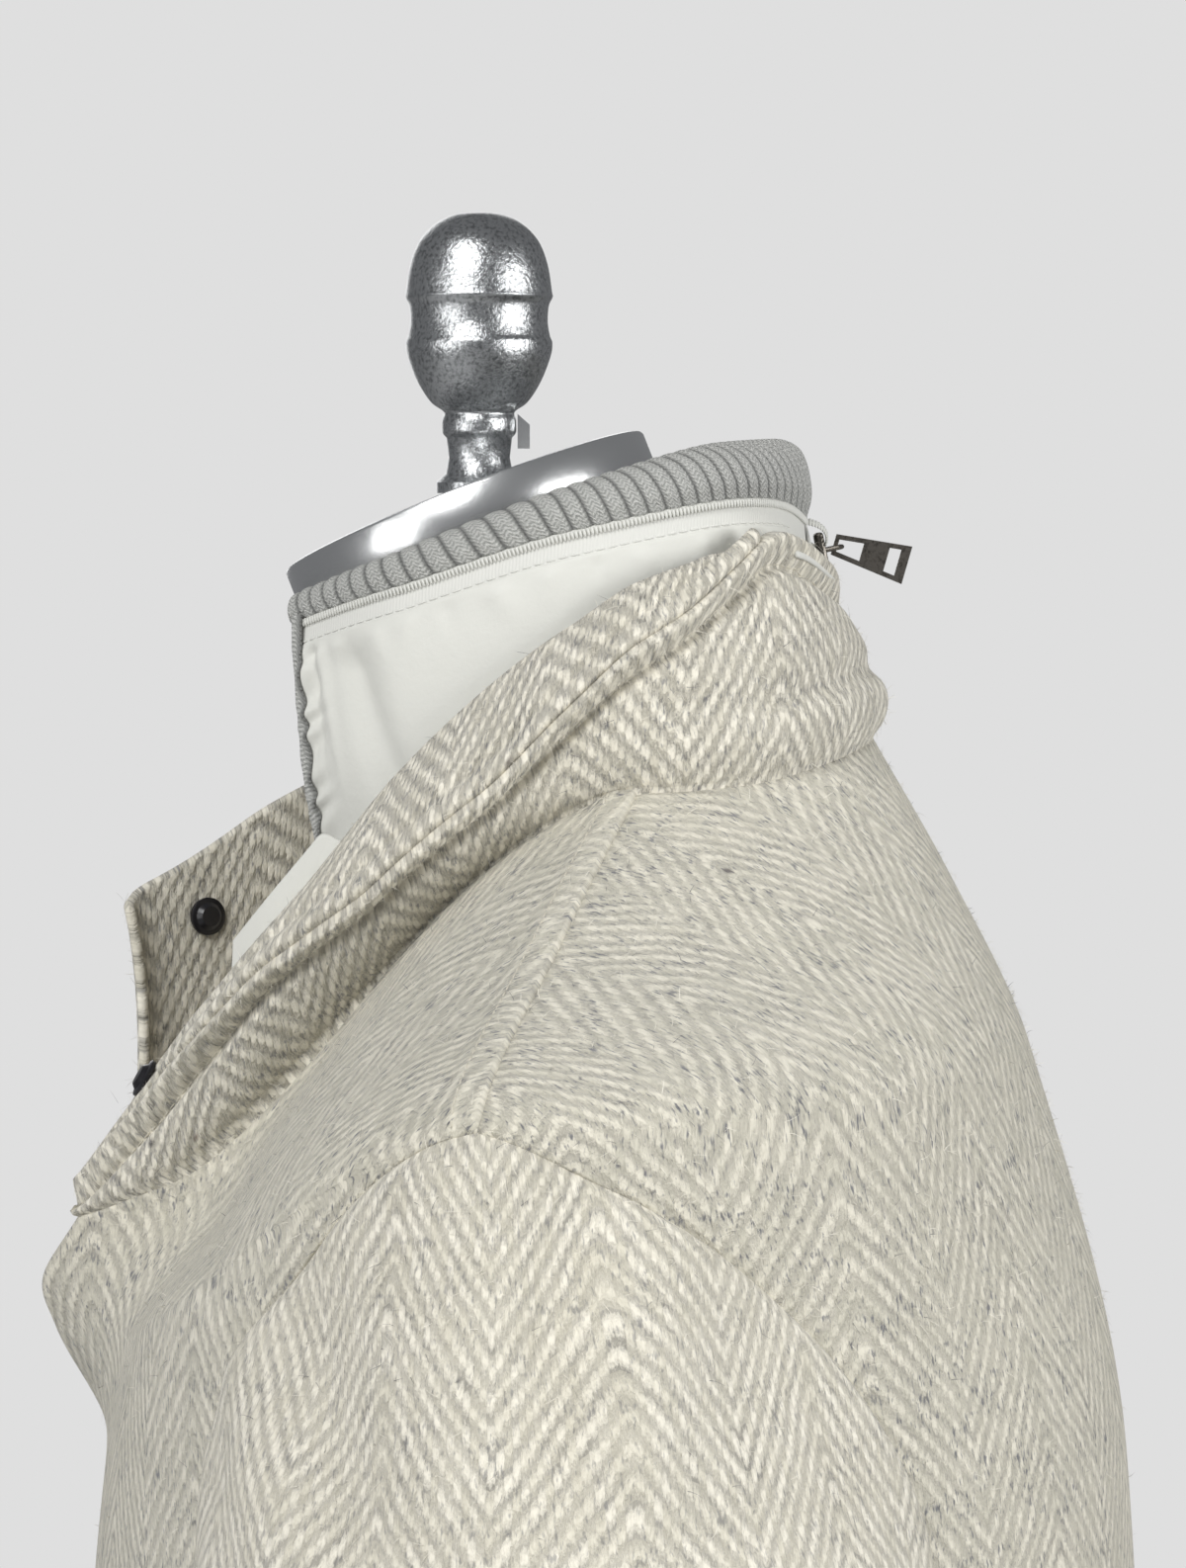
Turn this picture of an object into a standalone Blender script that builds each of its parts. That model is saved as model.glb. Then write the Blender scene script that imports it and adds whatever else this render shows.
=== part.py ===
"""A wool coat with a zipped, knit-lined collar, worn by a limbless dress form on a round-footed stand.

Metres, +Z up. The wearer's left is +X, the front is -Y, and the origin is on the floor under the pole.
Every cloth piece is a wall between two grids of points: the outer face, and the same points moved in.
"""
import math
from collections import namedtuple

import bmesh
import bpy
import numpy as np
from mathutils import Matrix, Vector

# Driving sizes
CLOTH = 0.003             # thick herringbone wool
LINING = 0.0012           # white nylon
KNIT = 0.0026             # rib knit between its ribs
SEAM = 0.0004             # room between two pieces at a seam
REST_GAP = 0.0009         # room between the coat's shoulders and the form
CHEST_LEVEL = 1.165       # underarm
SHOULDER_LEVEL = 1.385    # shoulder point
NECK_LEVEL = 1.460        # side of the neck
HEM_LEVEL = 0.600
NECK_Y = -0.035           # the neck stands forward of the pole
CAP_TILT = math.radians(21.5)

# The coat's rings: level is the height at the side, and front_z and back_z the heights at the middle.
Ring = namedtuple("Ring", "level half_width front_y back_y front_z back_z side_y square edge_x roll")
COAT_RINGS = (
    Ring(0.600, 0.240, -0.168, 0.172, 0.600, 0.600, 0.004, 2.45, -0.030, 0.000),   # hem
    Ring(0.800, 0.228, -0.158, 0.163, 0.800, 0.800, 0.004, 2.45, -0.030, 0.000),   # hip
    Ring(1.000, 0.211, -0.150, 0.153, 1.000, 1.000, 0.004, 2.45, -0.030, 0.000),   # waist
    Ring(1.165, 0.203, -0.147, 0.151, 1.165, 1.165, 0.005, 2.45, -0.030, 0.000),   # chest
    Ring(1.270, 0.206, -0.141, 0.146, 1.255, 1.275, -0.013, 2.40, -0.020, 0.000),  # middle of the armhole
    Ring(1.385, 0.224, -0.133, 0.119, 1.305, 1.388, -0.031, 2.05, 0.006, 0.022),   # shoulder point
    Ring(1.425, 0.150, -0.125, 0.097, 1.320, 1.434, -0.012, 2.05, 0.014, 0.026),   # middle of the shoulder
    Ring(1.460, 0.085, -0.114, 0.076, 1.333, 1.471, 0.008, 2.00, 0.020, 0.022),    # neck
)

# The skirt's soft folds: where each stands round the hem, how wide it is and how far it stands out there.
Fold = namedtuple("Fold", "angle_deg half_width_deg depth")
SKIRT_FOLDS = (
    Fold(-48, 15, 0.007), Fold(-22, 12, 0.006), Fold(22, 13, 0.007), Fold(50, 16, 0.009), Fold(82, 15, 0.006),
    Fold(116, 17, 0.009), Fold(150, 14, 0.007), Fold(-155, 13, 0.006), Fold(-128, 15, 0.007),
)
FOLD_TOP = 1.02           # the folds die out here
FRONT_DROOP, BACK_DROOP = 1.6, 2.2   # how late a ring leaves its side height on its way to the middle

LAPEL_REACH = 0.060       # how far in from the front edge the lapel's roll reaches
UNDERLAP_FROM = 0.074     # the right front starts to step in here, right of the middle
UNDERLAP_FULL = 0.036
UNDERLAP_STEP = CLOTH + 0.0012

ARM_TOP, ARM_BOTTOM = SHOULDER_LEVEL, CHEST_LEVEL
ARM_MID_Y, ARM_SKEW = -0.013, -0.018
ARM_FRONT, ARM_BACK = 0.085, 0.093
ARM_BACK_DROOP = 1.60     # the back of the armhole leaves the shoulder point slowly

# The sleeve's rings below the armhole
SleeveRing = namedtuple("SleeveRing", "z x y half_side half_depth")
SLEEVE_RINGS = (
    SleeveRing(1.150, 0.2520, -0.014, 0.0410, 0.092),  # upper arm
    SleeveRing(0.985, 0.2600, -0.018, 0.0390, 0.084),  # elbow
    SleeveRing(0.860, 0.2710, -0.034, 0.0360, 0.074),  # forearm
    SleeveRing(0.745, 0.2810, -0.054, 0.0330, 0.066),  # cuff
)
SLEEVE_SEAM_DEG = 108     # the under sleeve's seams, measured round from the top line

# The wool collar along the neckline: from the left front end (0) round the back (0.5) to the right end (1).
# Each pair is a point of the section, out from the neckline and up from it.
CollarRow = namedtuple("CollarRow", "along belly_out belly_up bead_out bead_up facing_out facing_up")
COLLAR_ROWS = (
    CollarRow(0.00, 0.009, 0.003, 0.018, 0.010, 0.010, 0.020),    # left front end
    CollarRow(0.04, 0.010, 0.007, 0.020, 0.023, 0.010, 0.033),
    CollarRow(0.08, 0.011, 0.009, 0.021, 0.0275, 0.010, 0.040),
    CollarRow(0.12, 0.011, 0.009, 0.021, 0.028, 0.008, 0.043),
    CollarRow(0.16, 0.011, 0.008, 0.021, 0.0235, 0.006, 0.0455),
    CollarRow(0.20, 0.011, 0.006, 0.020, 0.0190, 0.004, 0.0485),
    CollarRow(0.25, 0.010, 0.007, 0.016, 0.0190, 0.002, 0.0490),
    CollarRow(0.29, 0.008, 0.011, 0.012, 0.0274, 0.000, 0.0505),  # left side
    CollarRow(0.33, 0.006, 0.016, 0.006, 0.0440, -0.002, 0.0590),
    CollarRow(0.36, 0.004, 0.020, -0.002, 0.0565, -0.006, 0.0640),
    CollarRow(0.39, 0.003, 0.023, -0.007, 0.0640, -0.009, 0.0680),
    CollarRow(0.41, 0.002, 0.022, -0.009, 0.0605, -0.011, 0.0635),
    CollarRow(0.45, 0.001, 0.020, -0.011, 0.0500, -0.011, 0.0530),
    CollarRow(0.50, 0.003, 0.016, -0.013, 0.0410, -0.013, 0.0440),  # middle of the back
    CollarRow(0.60, 0.003, 0.017, -0.011, 0.0450, -0.011, 0.0450),
    CollarRow(0.72, 0.004, 0.019, -0.003, 0.0510, -0.003, 0.0510),  # right side
    CollarRow(0.84, 0.006, 0.022, 0.004, 0.0590, 0.004, 0.0590),
    CollarRow(0.92, 0.003, 0.034, 0.006, 0.0720, 0.006, 0.0720),
    CollarRow(1.00, -0.002, 0.044, 0.006, 0.0820, 0.006, 0.0820),   # right front end
)

# The knit inner collar: an oval round the neck, open at the front, whose top slopes forward.
KnitRow = namedtuple("KnitRow", "turn_deg x y top_z base_z lean roll")
KNIT_ROWS = (
    KnitRow(-62, 0.034, -0.083, 1.510, 1.450, 0.008, 0.60),   # front edge
    KnitRow(-30, 0.061, -0.052, 1.5222, 1.456, 0.003, 0.70),
    KnitRow(0, 0.069, -0.010, 1.5378, 1.462, 0.0, 0.85),      # side
    KnitRow(45, 0.052, 0.031, 1.5487, 1.462, 0.0, 1.05),
    KnitRow(90, 0.000, 0.048, 1.5500, 1.462, 0.0, 1.10),      # middle of the back
)
KNIT_RIBS = 50
RIB_HEIGHT = 0.0011
ZIP_TAPE = 0.0085         # one tape of the zip
ZIP_THICK = 0.0014

# The dress form
FormRing = namedtuple("FormRing", "level half_width front_y back_y front_z back_z side_y")
FORM_RINGS = (
    FormRing(0.760, 0.150, -0.092, 0.104, 0.760, 0.760, 0.004),
    FormRing(0.860, 0.172, -0.106, 0.116, 0.860, 0.860, 0.004),   # hip
    FormRing(1.040, 0.148, -0.092, 0.098, 1.040, 1.040, 0.004),   # waist
    FormRing(1.200, 0.176, -0.116, 0.120, 1.200, 1.200, 0.000),   # chest
    FormRing(1.290, 0.186, -0.106, 0.118, 1.290, 1.295, -0.012),
)
FORM_SHOULDER_LEVELS = (1.385, 1.40375, 1.4225, 1.44125)
FORM_NECK_RINGS = (
    FormRing(1.446, 0.056, -0.070, 0.032, 1.408, 1.455, -0.026),
    FormRing(1.492, 0.046, -0.073, 0.010, 1.476, 1.507, -0.035),
    FormRing(1.5262, 0.047, -0.078, 0.010, 1.5092, 1.5438, -0.035),   # top, parallel to the cap
)
FORM_SIDES = 28
CAP_RADIUS, CAP_HEIGHT, CAP_FLOOR = 0.054, 0.012, 0.0075
CAP_Z = 1.5265            # middle of the cap's underside
FINIAL_SPIGOT = 0.0080

# The finial's turned outline, from its top down
TurnedRow = namedtuple("TurnedRow", "radius z")
FINIAL_ROWS = (
    TurnedRow(0.0, 1.6188), TurnedRow(0.0070, 1.6180), TurnedRow(0.0125, 1.6152), TurnedRow(0.0168, 1.6105),
    TurnedRow(0.0193, 1.6040), TurnedRow(0.0205, 1.5965), TurnedRow(0.0207, 1.5950), TurnedRow(0.0196, 1.5925),
    TurnedRow(0.0193, 1.5880), TurnedRow(0.0199, 1.5842), TurnedRow(0.0206, 1.5820), TurnedRow(0.0200, 1.5780),
    TurnedRow(0.0172, 1.5710), TurnedRow(0.0136, 1.5655), TurnedRow(0.0100, 1.5628), TurnedRow(0.0104, 1.5605),
    TurnedRow(0.0104, 1.5572), TurnedRow(0.0092, 1.5555), TurnedRow(0.0086, 1.5500), TurnedRow(0.0094, 1.5455),
    TurnedRow(0.0120, 1.5430), TurnedRow(0.0120, 1.5400), TurnedRow(FINIAL_SPIGOT, 1.5400),
    TurnedRow(FINIAL_SPIGOT, 1.5315), TurnedRow(0.0, 1.5315),
)
POLE_RADIUS = 0.0125
BASE_RADIUS, BASE_HEIGHT = 0.190, 0.014

# Buttons and snaps
BUTTON_RADIUS, BUTTON_HEIGHT = 0.0140, 0.0045
BUTTON_LEVELS = (1.205, 1.060, 0.915)
SNAP_RADIUS, SNAP_HEIGHT = 0.0055, 0.0028

# Grid counts
SKIRT_ROWS, ARM_ROWS, SHOULDER_ROWS = 9, 10, 4
FRONT_COLUMNS, BACK_COLUMNS = 12, 20
TOP_SLEEVE_COLUMNS, UNDER_SLEEVE_COLUMNS = 12, 8
CAP_ROWS, ARM_LENGTH_ROWS = 5, 8


def smooth(rows, key, name, at):
    """The column `name` at the places `at`, on a smooth curve through the rows, ordered by the column `key`."""
    xs = np.array([getattr(r, key) for r in rows], float)
    ys = np.array([getattr(r, name) for r in rows], float)
    step = np.diff(xs)
    slope = np.diff(ys) / step
    tangent = np.concatenate([slope[:1], np.zeros(len(xs) - 2), slope[-1:]])
    for i in range(1, len(xs) - 1):
        if slope[i - 1] * slope[i] > 0:
            tangent[i] = 2 * slope[i - 1] * slope[i] / (slope[i - 1] + slope[i])
    at = np.asarray(at, float)
    i = np.clip(np.searchsorted(xs, at, side="right") - 1, 0, len(xs) - 2)
    t = np.clip((at - xs[i]) / step[i], -0.2, 1.2)
    inside = (
        (1 + 2 * t) * (1 - t) ** 2 * ys[i]
        + t * (1 - t) ** 2 * step[i] * tangent[i]
        + t * t * (3 - 2 * t) * ys[i + 1]
        + t * t * (t - 1) * step[i] * tangent[i + 1]
    )
    below, above = at < xs[0], at > xs[-1]
    outside = np.where(below, ys[0] + tangent[0] * (at - xs[0]), ys[-1] + tangent[-1] * (at - xs[-1]))
    return np.where(below | above, outside, inside)


def ease(t):
    """A smooth step from 0 to 1."""
    t = np.clip(t, 0.0, 1.0)
    return t * t * (3 - 2 * t)


def unit(vectors):
    return vectors / np.maximum(np.linalg.norm(vectors, axis=-1, keepdims=True), 1e-12)


def power(value, exponent):
    return np.sign(value) * np.abs(value) ** exponent


def coat_point(turn, level, side=0):
    """The coat's outer face. turn is the angle round the body: 0 at the left, 90 degrees at the back.
    side is 1 for the left front and -1 for the right front, whose lapel and underlap are added."""
    column = {n: smooth(COAT_RINGS, "level", n, level) for n in Ring._fields[1:]}
    c, s = np.cos(turn), np.sin(turn)
    bend = 2 / column["square"]
    x = column["half_width"] * power(c, bend)
    depth = np.where(s < 0, column["side_y"] - column["front_y"], column["back_y"] - column["side_y"])
    y = column["side_y"] + depth * power(s, bend)
    middle_z = np.where(s < 0, column["front_z"], column["back_z"])
    z = level + (middle_z - level) * np.abs(s) ** np.where(s < 0, FRONT_DROOP, BACK_DROOP)
    point = np.stack(np.broadcast_arrays(x, y, z), -1)
    outward = unit(np.stack(np.broadcast_arrays(c, s, 0 * c), -1))
    drop = ease((FOLD_TOP - level) / (FOLD_TOP - HEM_LEVEL))
    stand = np.zeros(np.shape(point)[:-1])
    for fold in SKIRT_FOLDS:
        away = np.degrees(np.abs((turn - math.radians(fold.angle_deg) + math.pi) % (2 * math.pi) - math.pi))
        stand = stand + fold.depth * (1 - ease(away / fold.half_width_deg))
    stand = stand * drop
    if side:
        in_from_edge = side * point[..., 0] - column["edge_x"]
        roll = column["roll"] * np.clip(1 - in_from_edge / LAPEL_REACH, 0, 1.3) ** 2 * ease(-s / 0.6)
        stand = stand + (roll if side > 0 else roll * ease(-point[..., 0] / 0.03))
    if side < 0:
        under = ease((point[..., 0] + UNDERLAP_FROM) / (UNDERLAP_FROM - UNDERLAP_FULL))
        stand = stand - UNDERLAP_STEP * under * ease((SHOULDER_LEVEL - level) / 0.10)
    return point + outward * stand[..., None]


def face_of(surface, a, b, step=1e-4):
    """Points of a surface of two parameters, and its outward normals."""
    across = surface(a + step, b) - surface(a - step, b)
    up = surface(a, b + step) - surface(a, b - step)
    return surface(a, b), unit(np.cross(across, up))


def ring_turns(level, start, end, count, side, room=SEAM):
    """Angles from start to end whose points are evenly spaced along the ring, with room left at both ends."""
    fine = np.linspace(start, end, 240)
    run = np.concatenate([[0], np.cumsum(np.linalg.norm(np.diff(coat_point(fine, level, side), axis=0), axis=1))])
    return np.interp(np.linspace(room / 2, run[-1] - room / 2, count + 1), run, fine)


def turn_at_y(level, y):
    """The angle on the left half of the ring at which it passes y."""
    side_y, square = (smooth(COAT_RINGS, "level", n, level) for n in ("side_y", "square"))
    end = smooth(COAT_RINGS, "level", "front_y" if y < side_y else "back_y", level)
    share = np.clip((y - side_y) / (end - side_y), 0, 1)
    return (-1 if y < side_y else 1) * math.asin(share ** (square / 2))


def turn_at_x(level, x):
    """The angle on the front half of the ring at which it passes x."""
    half, square = (smooth(COAT_RINGS, "level", n, level) for n in ("half_width", "square"))
    return -math.acos(float(power(np.clip(x / half, -1, 1), square / 2)))


def armhole(around):
    """Level and y of the left armhole at an angle round from the shoulder point: to the front where positive."""
    level = (ARM_TOP + ARM_BOTTOM) / 2 + (ARM_TOP - ARM_BOTTOM) / 2 * math.cos(around)
    s = math.sin(around)
    reach = -ARM_FRONT * s if s > 0 else ARM_BACK * (-s) ** ARM_BACK_DROOP
    return level, ARM_MID_Y + ARM_SKEW * math.cos(around) + reach


def panel_rows():
    """The levels of a panel's rows, each with the angle round the armhole, or None away from it."""
    rows = [(l, None) for l in np.linspace(HEM_LEVEL, CHEST_LEVEL, SKIRT_ROWS, endpoint=False)]
    rows += [(armhole(a)[0], a) for a in np.linspace(math.pi, 0, ARM_ROWS + 1)]
    return rows + [(l, None) for l in np.linspace(SHOULDER_LEVEL, NECK_LEVEL, SHOULDER_ROWS + 1)[1:]]


def side_turn(level, around, to_front):
    """Where a panel ends at the side: the side seam, the armhole or the shoulder seam."""
    if around is None:
        return 0.0
    return turn_at_y(level, armhole(around if to_front else -around)[1])


def wall(name, outer, inner, material, closed=False):
    """A closed wall between two grids of points, rows by columns. closed joins the last column to the first."""
    rows, columns = outer.shape[:2]
    mesh = bmesh.new()
    grids = [[[mesh.verts.new(p) for p in row] for row in grid] for grid in (outer, inner)]
    last = columns if closed else columns - 1
    for r in range(rows - 1):
        for c in range(last):
            d = (c + 1) % columns
            o, i = grids
            mesh.faces.new((o[r][c], o[r][d], o[r + 1][d], o[r + 1][c]))
            mesh.faces.new((i[r][c], i[r + 1][c], i[r + 1][d], i[r][d]))
    rims = [(grids[0][r][c], grids[0][r][(c + 1) % columns], grids[1][r][(c + 1) % columns], grids[1][r][c])
            for r in (0, rows - 1) for c in range(last)]
    if not closed:
        rims += [(grids[0][r][c], grids[0][r + 1][c], grids[1][r + 1][c], grids[1][r][c])
                 for c in (0, columns - 1) for r in range(rows - 1)]
    for rim in rims:
        mesh.faces.new(rim)
    return finish_mesh(name, mesh, material)


def finish_mesh(name, mesh, material, smooth_angle=40):
    """Turns a bmesh into a named object of the coat's collection, with its faces pointing out."""
    bmesh.ops.recalc_face_normals(mesh, faces=mesh.faces)
    data = bpy.data.meshes.new(name)
    mesh.to_mesh(data)
    mesh.free()
    data.shade_smooth()
    data.set_sharp_from_angle(angle=math.radians(smooth_angle))
    made = bpy.data.objects.new(name, data)
    made.data.materials.append(material)
    PARTS.objects.link(made)
    return made


def turned(name, rows, material, sides, place=None):
    """A solid of revolution about its own Z axis: a profile, top to bottom, with a Screw modifier."""
    data = bpy.data.meshes.new(name)
    data.from_pydata([(r, 0, z) for r, z in rows], [(k, k + 1) for k in range(len(rows) - 1)], [])
    made = bpy.data.objects.new(name, data)
    made.data.materials.append(material)
    PARTS.objects.link(made)
    screw = made.modifiers.new("turn", "SCREW")
    screw.steps = screw.render_steps = sides
    screw.use_merge_vertices = True
    screw.merge_threshold = 1e-5
    screw.use_smooth_shade = True
    if place is not None:
        made.matrix_world = place
    return made


def colour(name, rgb, roughness, metallic=0.0):
    made = bpy.data.materials.new(name)
    made.use_nodes = True
    shader = made.node_tree.nodes["Principled BSDF"]
    shader.inputs["Base Color"].default_value = (*rgb, 1)
    shader.inputs["Roughness"].default_value = roughness
    shader.inputs["Metallic"].default_value = metallic
    return made


# The coat's body
def seam_normal(level):
    """The coat's outward normal on the left side and shoulder seam, shared by both panels."""
    return face_of(coat_point, np.array([0.0]), np.array([level]))[1][0]


def front_panel(side):
    """One front: from its front edge to the side seam, the armhole and the shoulder seam."""
    outer, inner = [], []
    for level, around in panel_rows():
        edge = turn_at_x(level, float(smooth(COAT_RINGS, "level", "edge_x", level)))
        turns = ring_turns(level, edge, side_turn(level, around, True), FRONT_COLUMNS, 1)
        if side < 0:
            turns = -math.pi - turns
        points, normals = face_of(lambda a, b: coat_point(a, b, side), turns, np.full_like(turns, level))
        if abs(side_turn(level, around, True)) < 1e-3:
            normals[-1] = seam_normal(level) * np.array([side, 1, 1])
        outer.append(points)
        inner.append(points - CLOTH * normals)
    return wall("front_left" if side > 0 else "front_right", np.array(outer), np.array(inner), WOOL)


def back_panel():
    outer, inner = [], []
    for level, around in panel_rows():
        start = side_turn(level, around, False)
        turns = ring_turns(level, start, math.pi - start, BACK_COLUMNS, 0)
        points, normals = face_of(coat_point, turns, np.full_like(turns, level))
        if abs(start) < 1e-3:
            normals[0] = seam_normal(level)
            normals[-1] = normals[0] * np.array([-1, 1, 1])
        outer.append(points)
        inner.append(points - CLOTH * normals)
    return wall("back_panel", np.array(outer), np.array(inner), WOOL)


# The sleeves
def armhole_frame(around):
    """A point of the left armhole's edge, the coat's normal there, and the way into the hole."""
    level, y = armhole((around + math.pi) % (2 * math.pi) - math.pi)
    point, normal = face_of(coat_point, np.array([turn_at_y(level, y)]), np.array([level]))
    middle = np.array([smooth(COAT_RINGS, "level", "half_width", 1.275), ARM_MID_Y, 1.275])
    into = middle - point[0]
    into = into - normal[0] * (into @ normal[0])
    return point[0], normal[0], unit(into)


def sleeve_line(around):
    """One line of the left sleeve, from the armhole to the cuff, and the coat's normal at its start."""
    point, normal, into = armhole_frame(around)
    start = point + into * SEAM * 1.5
    rings = SLEEVE_RINGS[::-1]
    heights = np.linspace(SLEEVE_RINGS[0].z, SLEEVE_RINGS[-1].z, ARM_LENGTH_ROWS + 1)
    x, y, side, depth = (smooth(rings, "z", n, heights) for n in ("x", "y", "half_side", "half_depth"))
    arm = np.stack([x + side * math.cos(around), y - depth * math.sin(around), heights], 1)
    reach = np.linalg.norm(arm[0] - start)
    leave = unit(normal + into - np.array([0, 0, 1.0])) * reach * 0.85
    arrive = unit(arm[1] - arm[0]) * reach * 0.85
    t = np.linspace(0, 1, CAP_ROWS + 1)[:-1, None]
    cap = ((1 + 2 * t) * (1 - t) ** 2 * start + t * (1 - t) ** 2 * leave
           + t * t * (3 - 2 * t) * arm[0] + t * t * (t - 1) * arrive)
    return np.concatenate([cap, arm]), normal


def sleeve_piece(name, first_deg, last_deg, columns, side):
    """A piece of a sleeve between two seams, given as angles round from the top line towards the front."""
    room = SEAM / 0.08
    arounds = np.linspace(math.radians(first_deg) + room, math.radians(last_deg) - room, columns + 1)
    step = 1e-3
    lines = [sleeve_line(a) for a in arounds]
    outer = np.stack([line for line, _ in lines], 1)
    across = np.stack([sleeve_line(a + step)[0] - sleeve_line(a - step)[0] for a in arounds], 1)
    normals = unit(np.cross(across, np.gradient(outer, axis=0)))
    for c, around in enumerate(arounds):
        from_top = abs(math.degrees((around + math.pi) % (2 * math.pi) - math.pi))
        share = float(ease((160 - from_top) / 40))
        normals[0, c] = unit(lines[c][1] * share + normals[0, c] * (1 - share))
    inner = outer - CLOTH * normals
    mirror = np.array([side, 1, 1])
    return wall(name, outer * mirror, inner * mirror, WOOL)


# The wool collar
def neckline(along):
    """Points of the neckline, the coat's normals, the way up the coat there, and the level way out."""
    first = turn_at_x(NECK_LEVEL, COAT_RINGS[-1].edge_x)
    fine = np.linspace(first, math.pi - first, 600)
    level = np.full_like(fine, NECK_LEVEL)
    left = coat_point(fine, level, 1)
    right = coat_point(fine, level, -1)
    whole = np.where((fine < math.pi / 2)[:, None], left, right)
    run = np.concatenate([[0], np.cumsum(np.linalg.norm(np.diff(whole, axis=0), axis=1))])
    turns = np.interp(np.asarray(along, float) * run[-1], run, fine)
    level = np.full_like(turns, NECK_LEVEL)
    sides = [face_of(lambda a, b, s=s: coat_point(a, b, s), turns, level) for s in (1, -1)]
    rises = [coat_point(turns, level + 1e-4, s) - coat_point(turns, level - 1e-4, s) for s in (1, -1)]
    is_left = (turns < math.pi / 2)[:, None]
    points, normals = (np.where(is_left, l, r) for l, r in zip(*sides))
    rise = unit(np.where(is_left, *rises))
    ahead = np.gradient(points, axis=0) if len(points) > 2 else None
    out = unit(np.stack([ahead[:, 1], -ahead[:, 0], 0 * ahead[:, 0]], 1))
    return points, normals, rise, out


def collar_column(name, along):
    return smooth(COLLAR_ROWS, "along", name, along)


def collar_grid(along, shares):
    """The collar's outer face: rows at shares of the way from the neckline, over its belly, to its bead."""
    points, normals, rise, out = neckline(along)
    base = points + rise * SEAM * 2.4
    up = np.array([0, 0, 1.0])
    belly_out, belly_up, bead_out, bead_up = (collar_column(n, along)[:, None]
                                              for n in ("belly_out", "belly_up", "bead_out", "bead_up"))
    belly = base + out * belly_out + up * belly_up
    bead = base + out * bead_out + up * bead_up
    rows = [base * (1 - t) * (1 - 2 * t) + belly * 4 * t * (1 - t) + bead * t * (2 * t - 1) for t in shares]
    return np.array(rows), normals, out


def grid_normals(grid):
    """Outward normals of a grid whose columns run round to the back and whose rows run up the outer face."""
    return unit(np.cross(np.gradient(grid, axis=1), np.gradient(grid, axis=0)))


COLLAR_SHARES = np.linspace(0, 1, 7)
COLLAR_COLUMNS = 38


def under_collar():
    along = np.linspace(0, 1, COLLAR_COLUMNS + 1)
    outer, first_normals, _ = collar_grid(along, COLLAR_SHARES)
    normals = grid_normals(outer)
    normals[0] = first_normals
    return wall("under_collar", outer, outer - CLOTH * normals, WOOL)


FACING_FROM, FACING_TO = 0.0, 0.378
FACING_COLUMNS = 20


def facing_grid(along):
    """The top collar: it starts on the under collar's top edge, rolls over it and slopes in to the pouch."""
    outer, _, out = collar_grid(along, COLLAR_SHARES)
    normals = grid_normals(outer)[-1]
    bead = outer[-1] + unit(outer[-1] - outer[-2]) * SEAM
    up = np.array([0, 0, 1.0])
    in_step = (collar_column("facing_out", along) - collar_column("bead_out", along))[:, None]
    up_step = (collar_column("facing_up", along) - collar_column("bead_up", along))[:, None]
    end = bead + out * in_step + up * up_step
    room = np.minimum(1, np.hypot(in_step, up_step) / 0.013)
    knee = bead + (unit(outer[-1] - outer[-2]) * 0.008 + out * 0.001 + up * 0.004) * room
    t = np.linspace(0, 1, 6)[:, None, None]
    grid = bead * (1 - t) ** 2 + knee * 2 * t * (1 - t) + end * t * t
    return grid, normals, out


def top_collar():
    along = np.linspace(FACING_FROM, FACING_TO, FACING_COLUMNS + 1)
    outer, first_normals, _ = facing_grid(along)
    normals = grid_normals(outer)
    normals[0] = first_normals
    return wall("top_collar", outer, outer - CLOTH * normals, WOOL)


# The knit inner collar, its zip and the white pouch behind it
KNIT_ALL = KNIT_ROWS + tuple(r._replace(turn_deg=180 - r.turn_deg, x=-r.x) for r in KNIT_ROWS[-2::-1])


def knit_path(turn_deg):
    """Points of the knit's top line, the level way out, and the size of its roll."""
    at = np.asarray(turn_deg, float)
    x, y, z, roll = (smooth(KNIT_ALL, "turn_deg", n, at) for n in ("x", "y", "top_z", "roll"))
    ahead = [smooth(KNIT_ALL, "turn_deg", n, at + 0.5) - smooth(KNIT_ALL, "turn_deg", n, at - 0.5) for n in "xy"]
    out = unit(np.stack([ahead[1], -ahead[0], 0 * at], 1))
    return np.stack([x, y, z], 1), out, roll


KNIT_EDGE = (0.0080, -0.0095)   # the edge that carries the zip
KNIT_PROFILE = (  # out and up from the top line, for a roll of 1, from the zip over the top to the neck
    KNIT_EDGE, (0.0089, -0.0045), (0.0064, 0.0012), (0.0000, 0.0040), (-0.0058, 0.0006), (-0.0068, -0.0080),
)
KNIT_INSIDE = -0.0058


def knit_grid(turn_deg):
    points, out, roll = knit_path(turn_deg)
    up = np.array([0, 0, 1.0])
    rows = [points + out * (o * roll)[:, None] + up * (u * roll)[:, None] for o, u in KNIT_PROFILE]
    last = points + out * KNIT_INSIDE
    last[:, 1] += smooth(KNIT_ALL, "turn_deg", "lean", turn_deg)
    last[:, 2] = smooth(KNIT_ALL, "turn_deg", "base_z", turn_deg)
    return np.array(rows + [last])


def knit_collar():
    turns = np.linspace(KNIT_ALL[0].turn_deg, KNIT_ALL[-1].turn_deg, 2 * KNIT_RIBS + 1)
    plain = knit_grid(turns)
    normals = grid_normals(plain)
    ribs = np.where(np.arange(len(turns)) % 2, RIB_HEIGHT, 0.0)[None, :, None]
    return wall("knit_collar", plain + normals * ribs, plain - KNIT * normals, KNIT_GREY)


def zip_edge(turn_deg):
    """The knit's lower outer edge, which carries the upper zip tape, and the way out."""
    points, out, roll = knit_path(turn_deg)
    up = np.array([0, 0, 1.0])
    return points + out * (KNIT_EDGE[0] * roll)[:, None] + up * (KNIT_EDGE[1] * roll)[:, None], out


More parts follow.
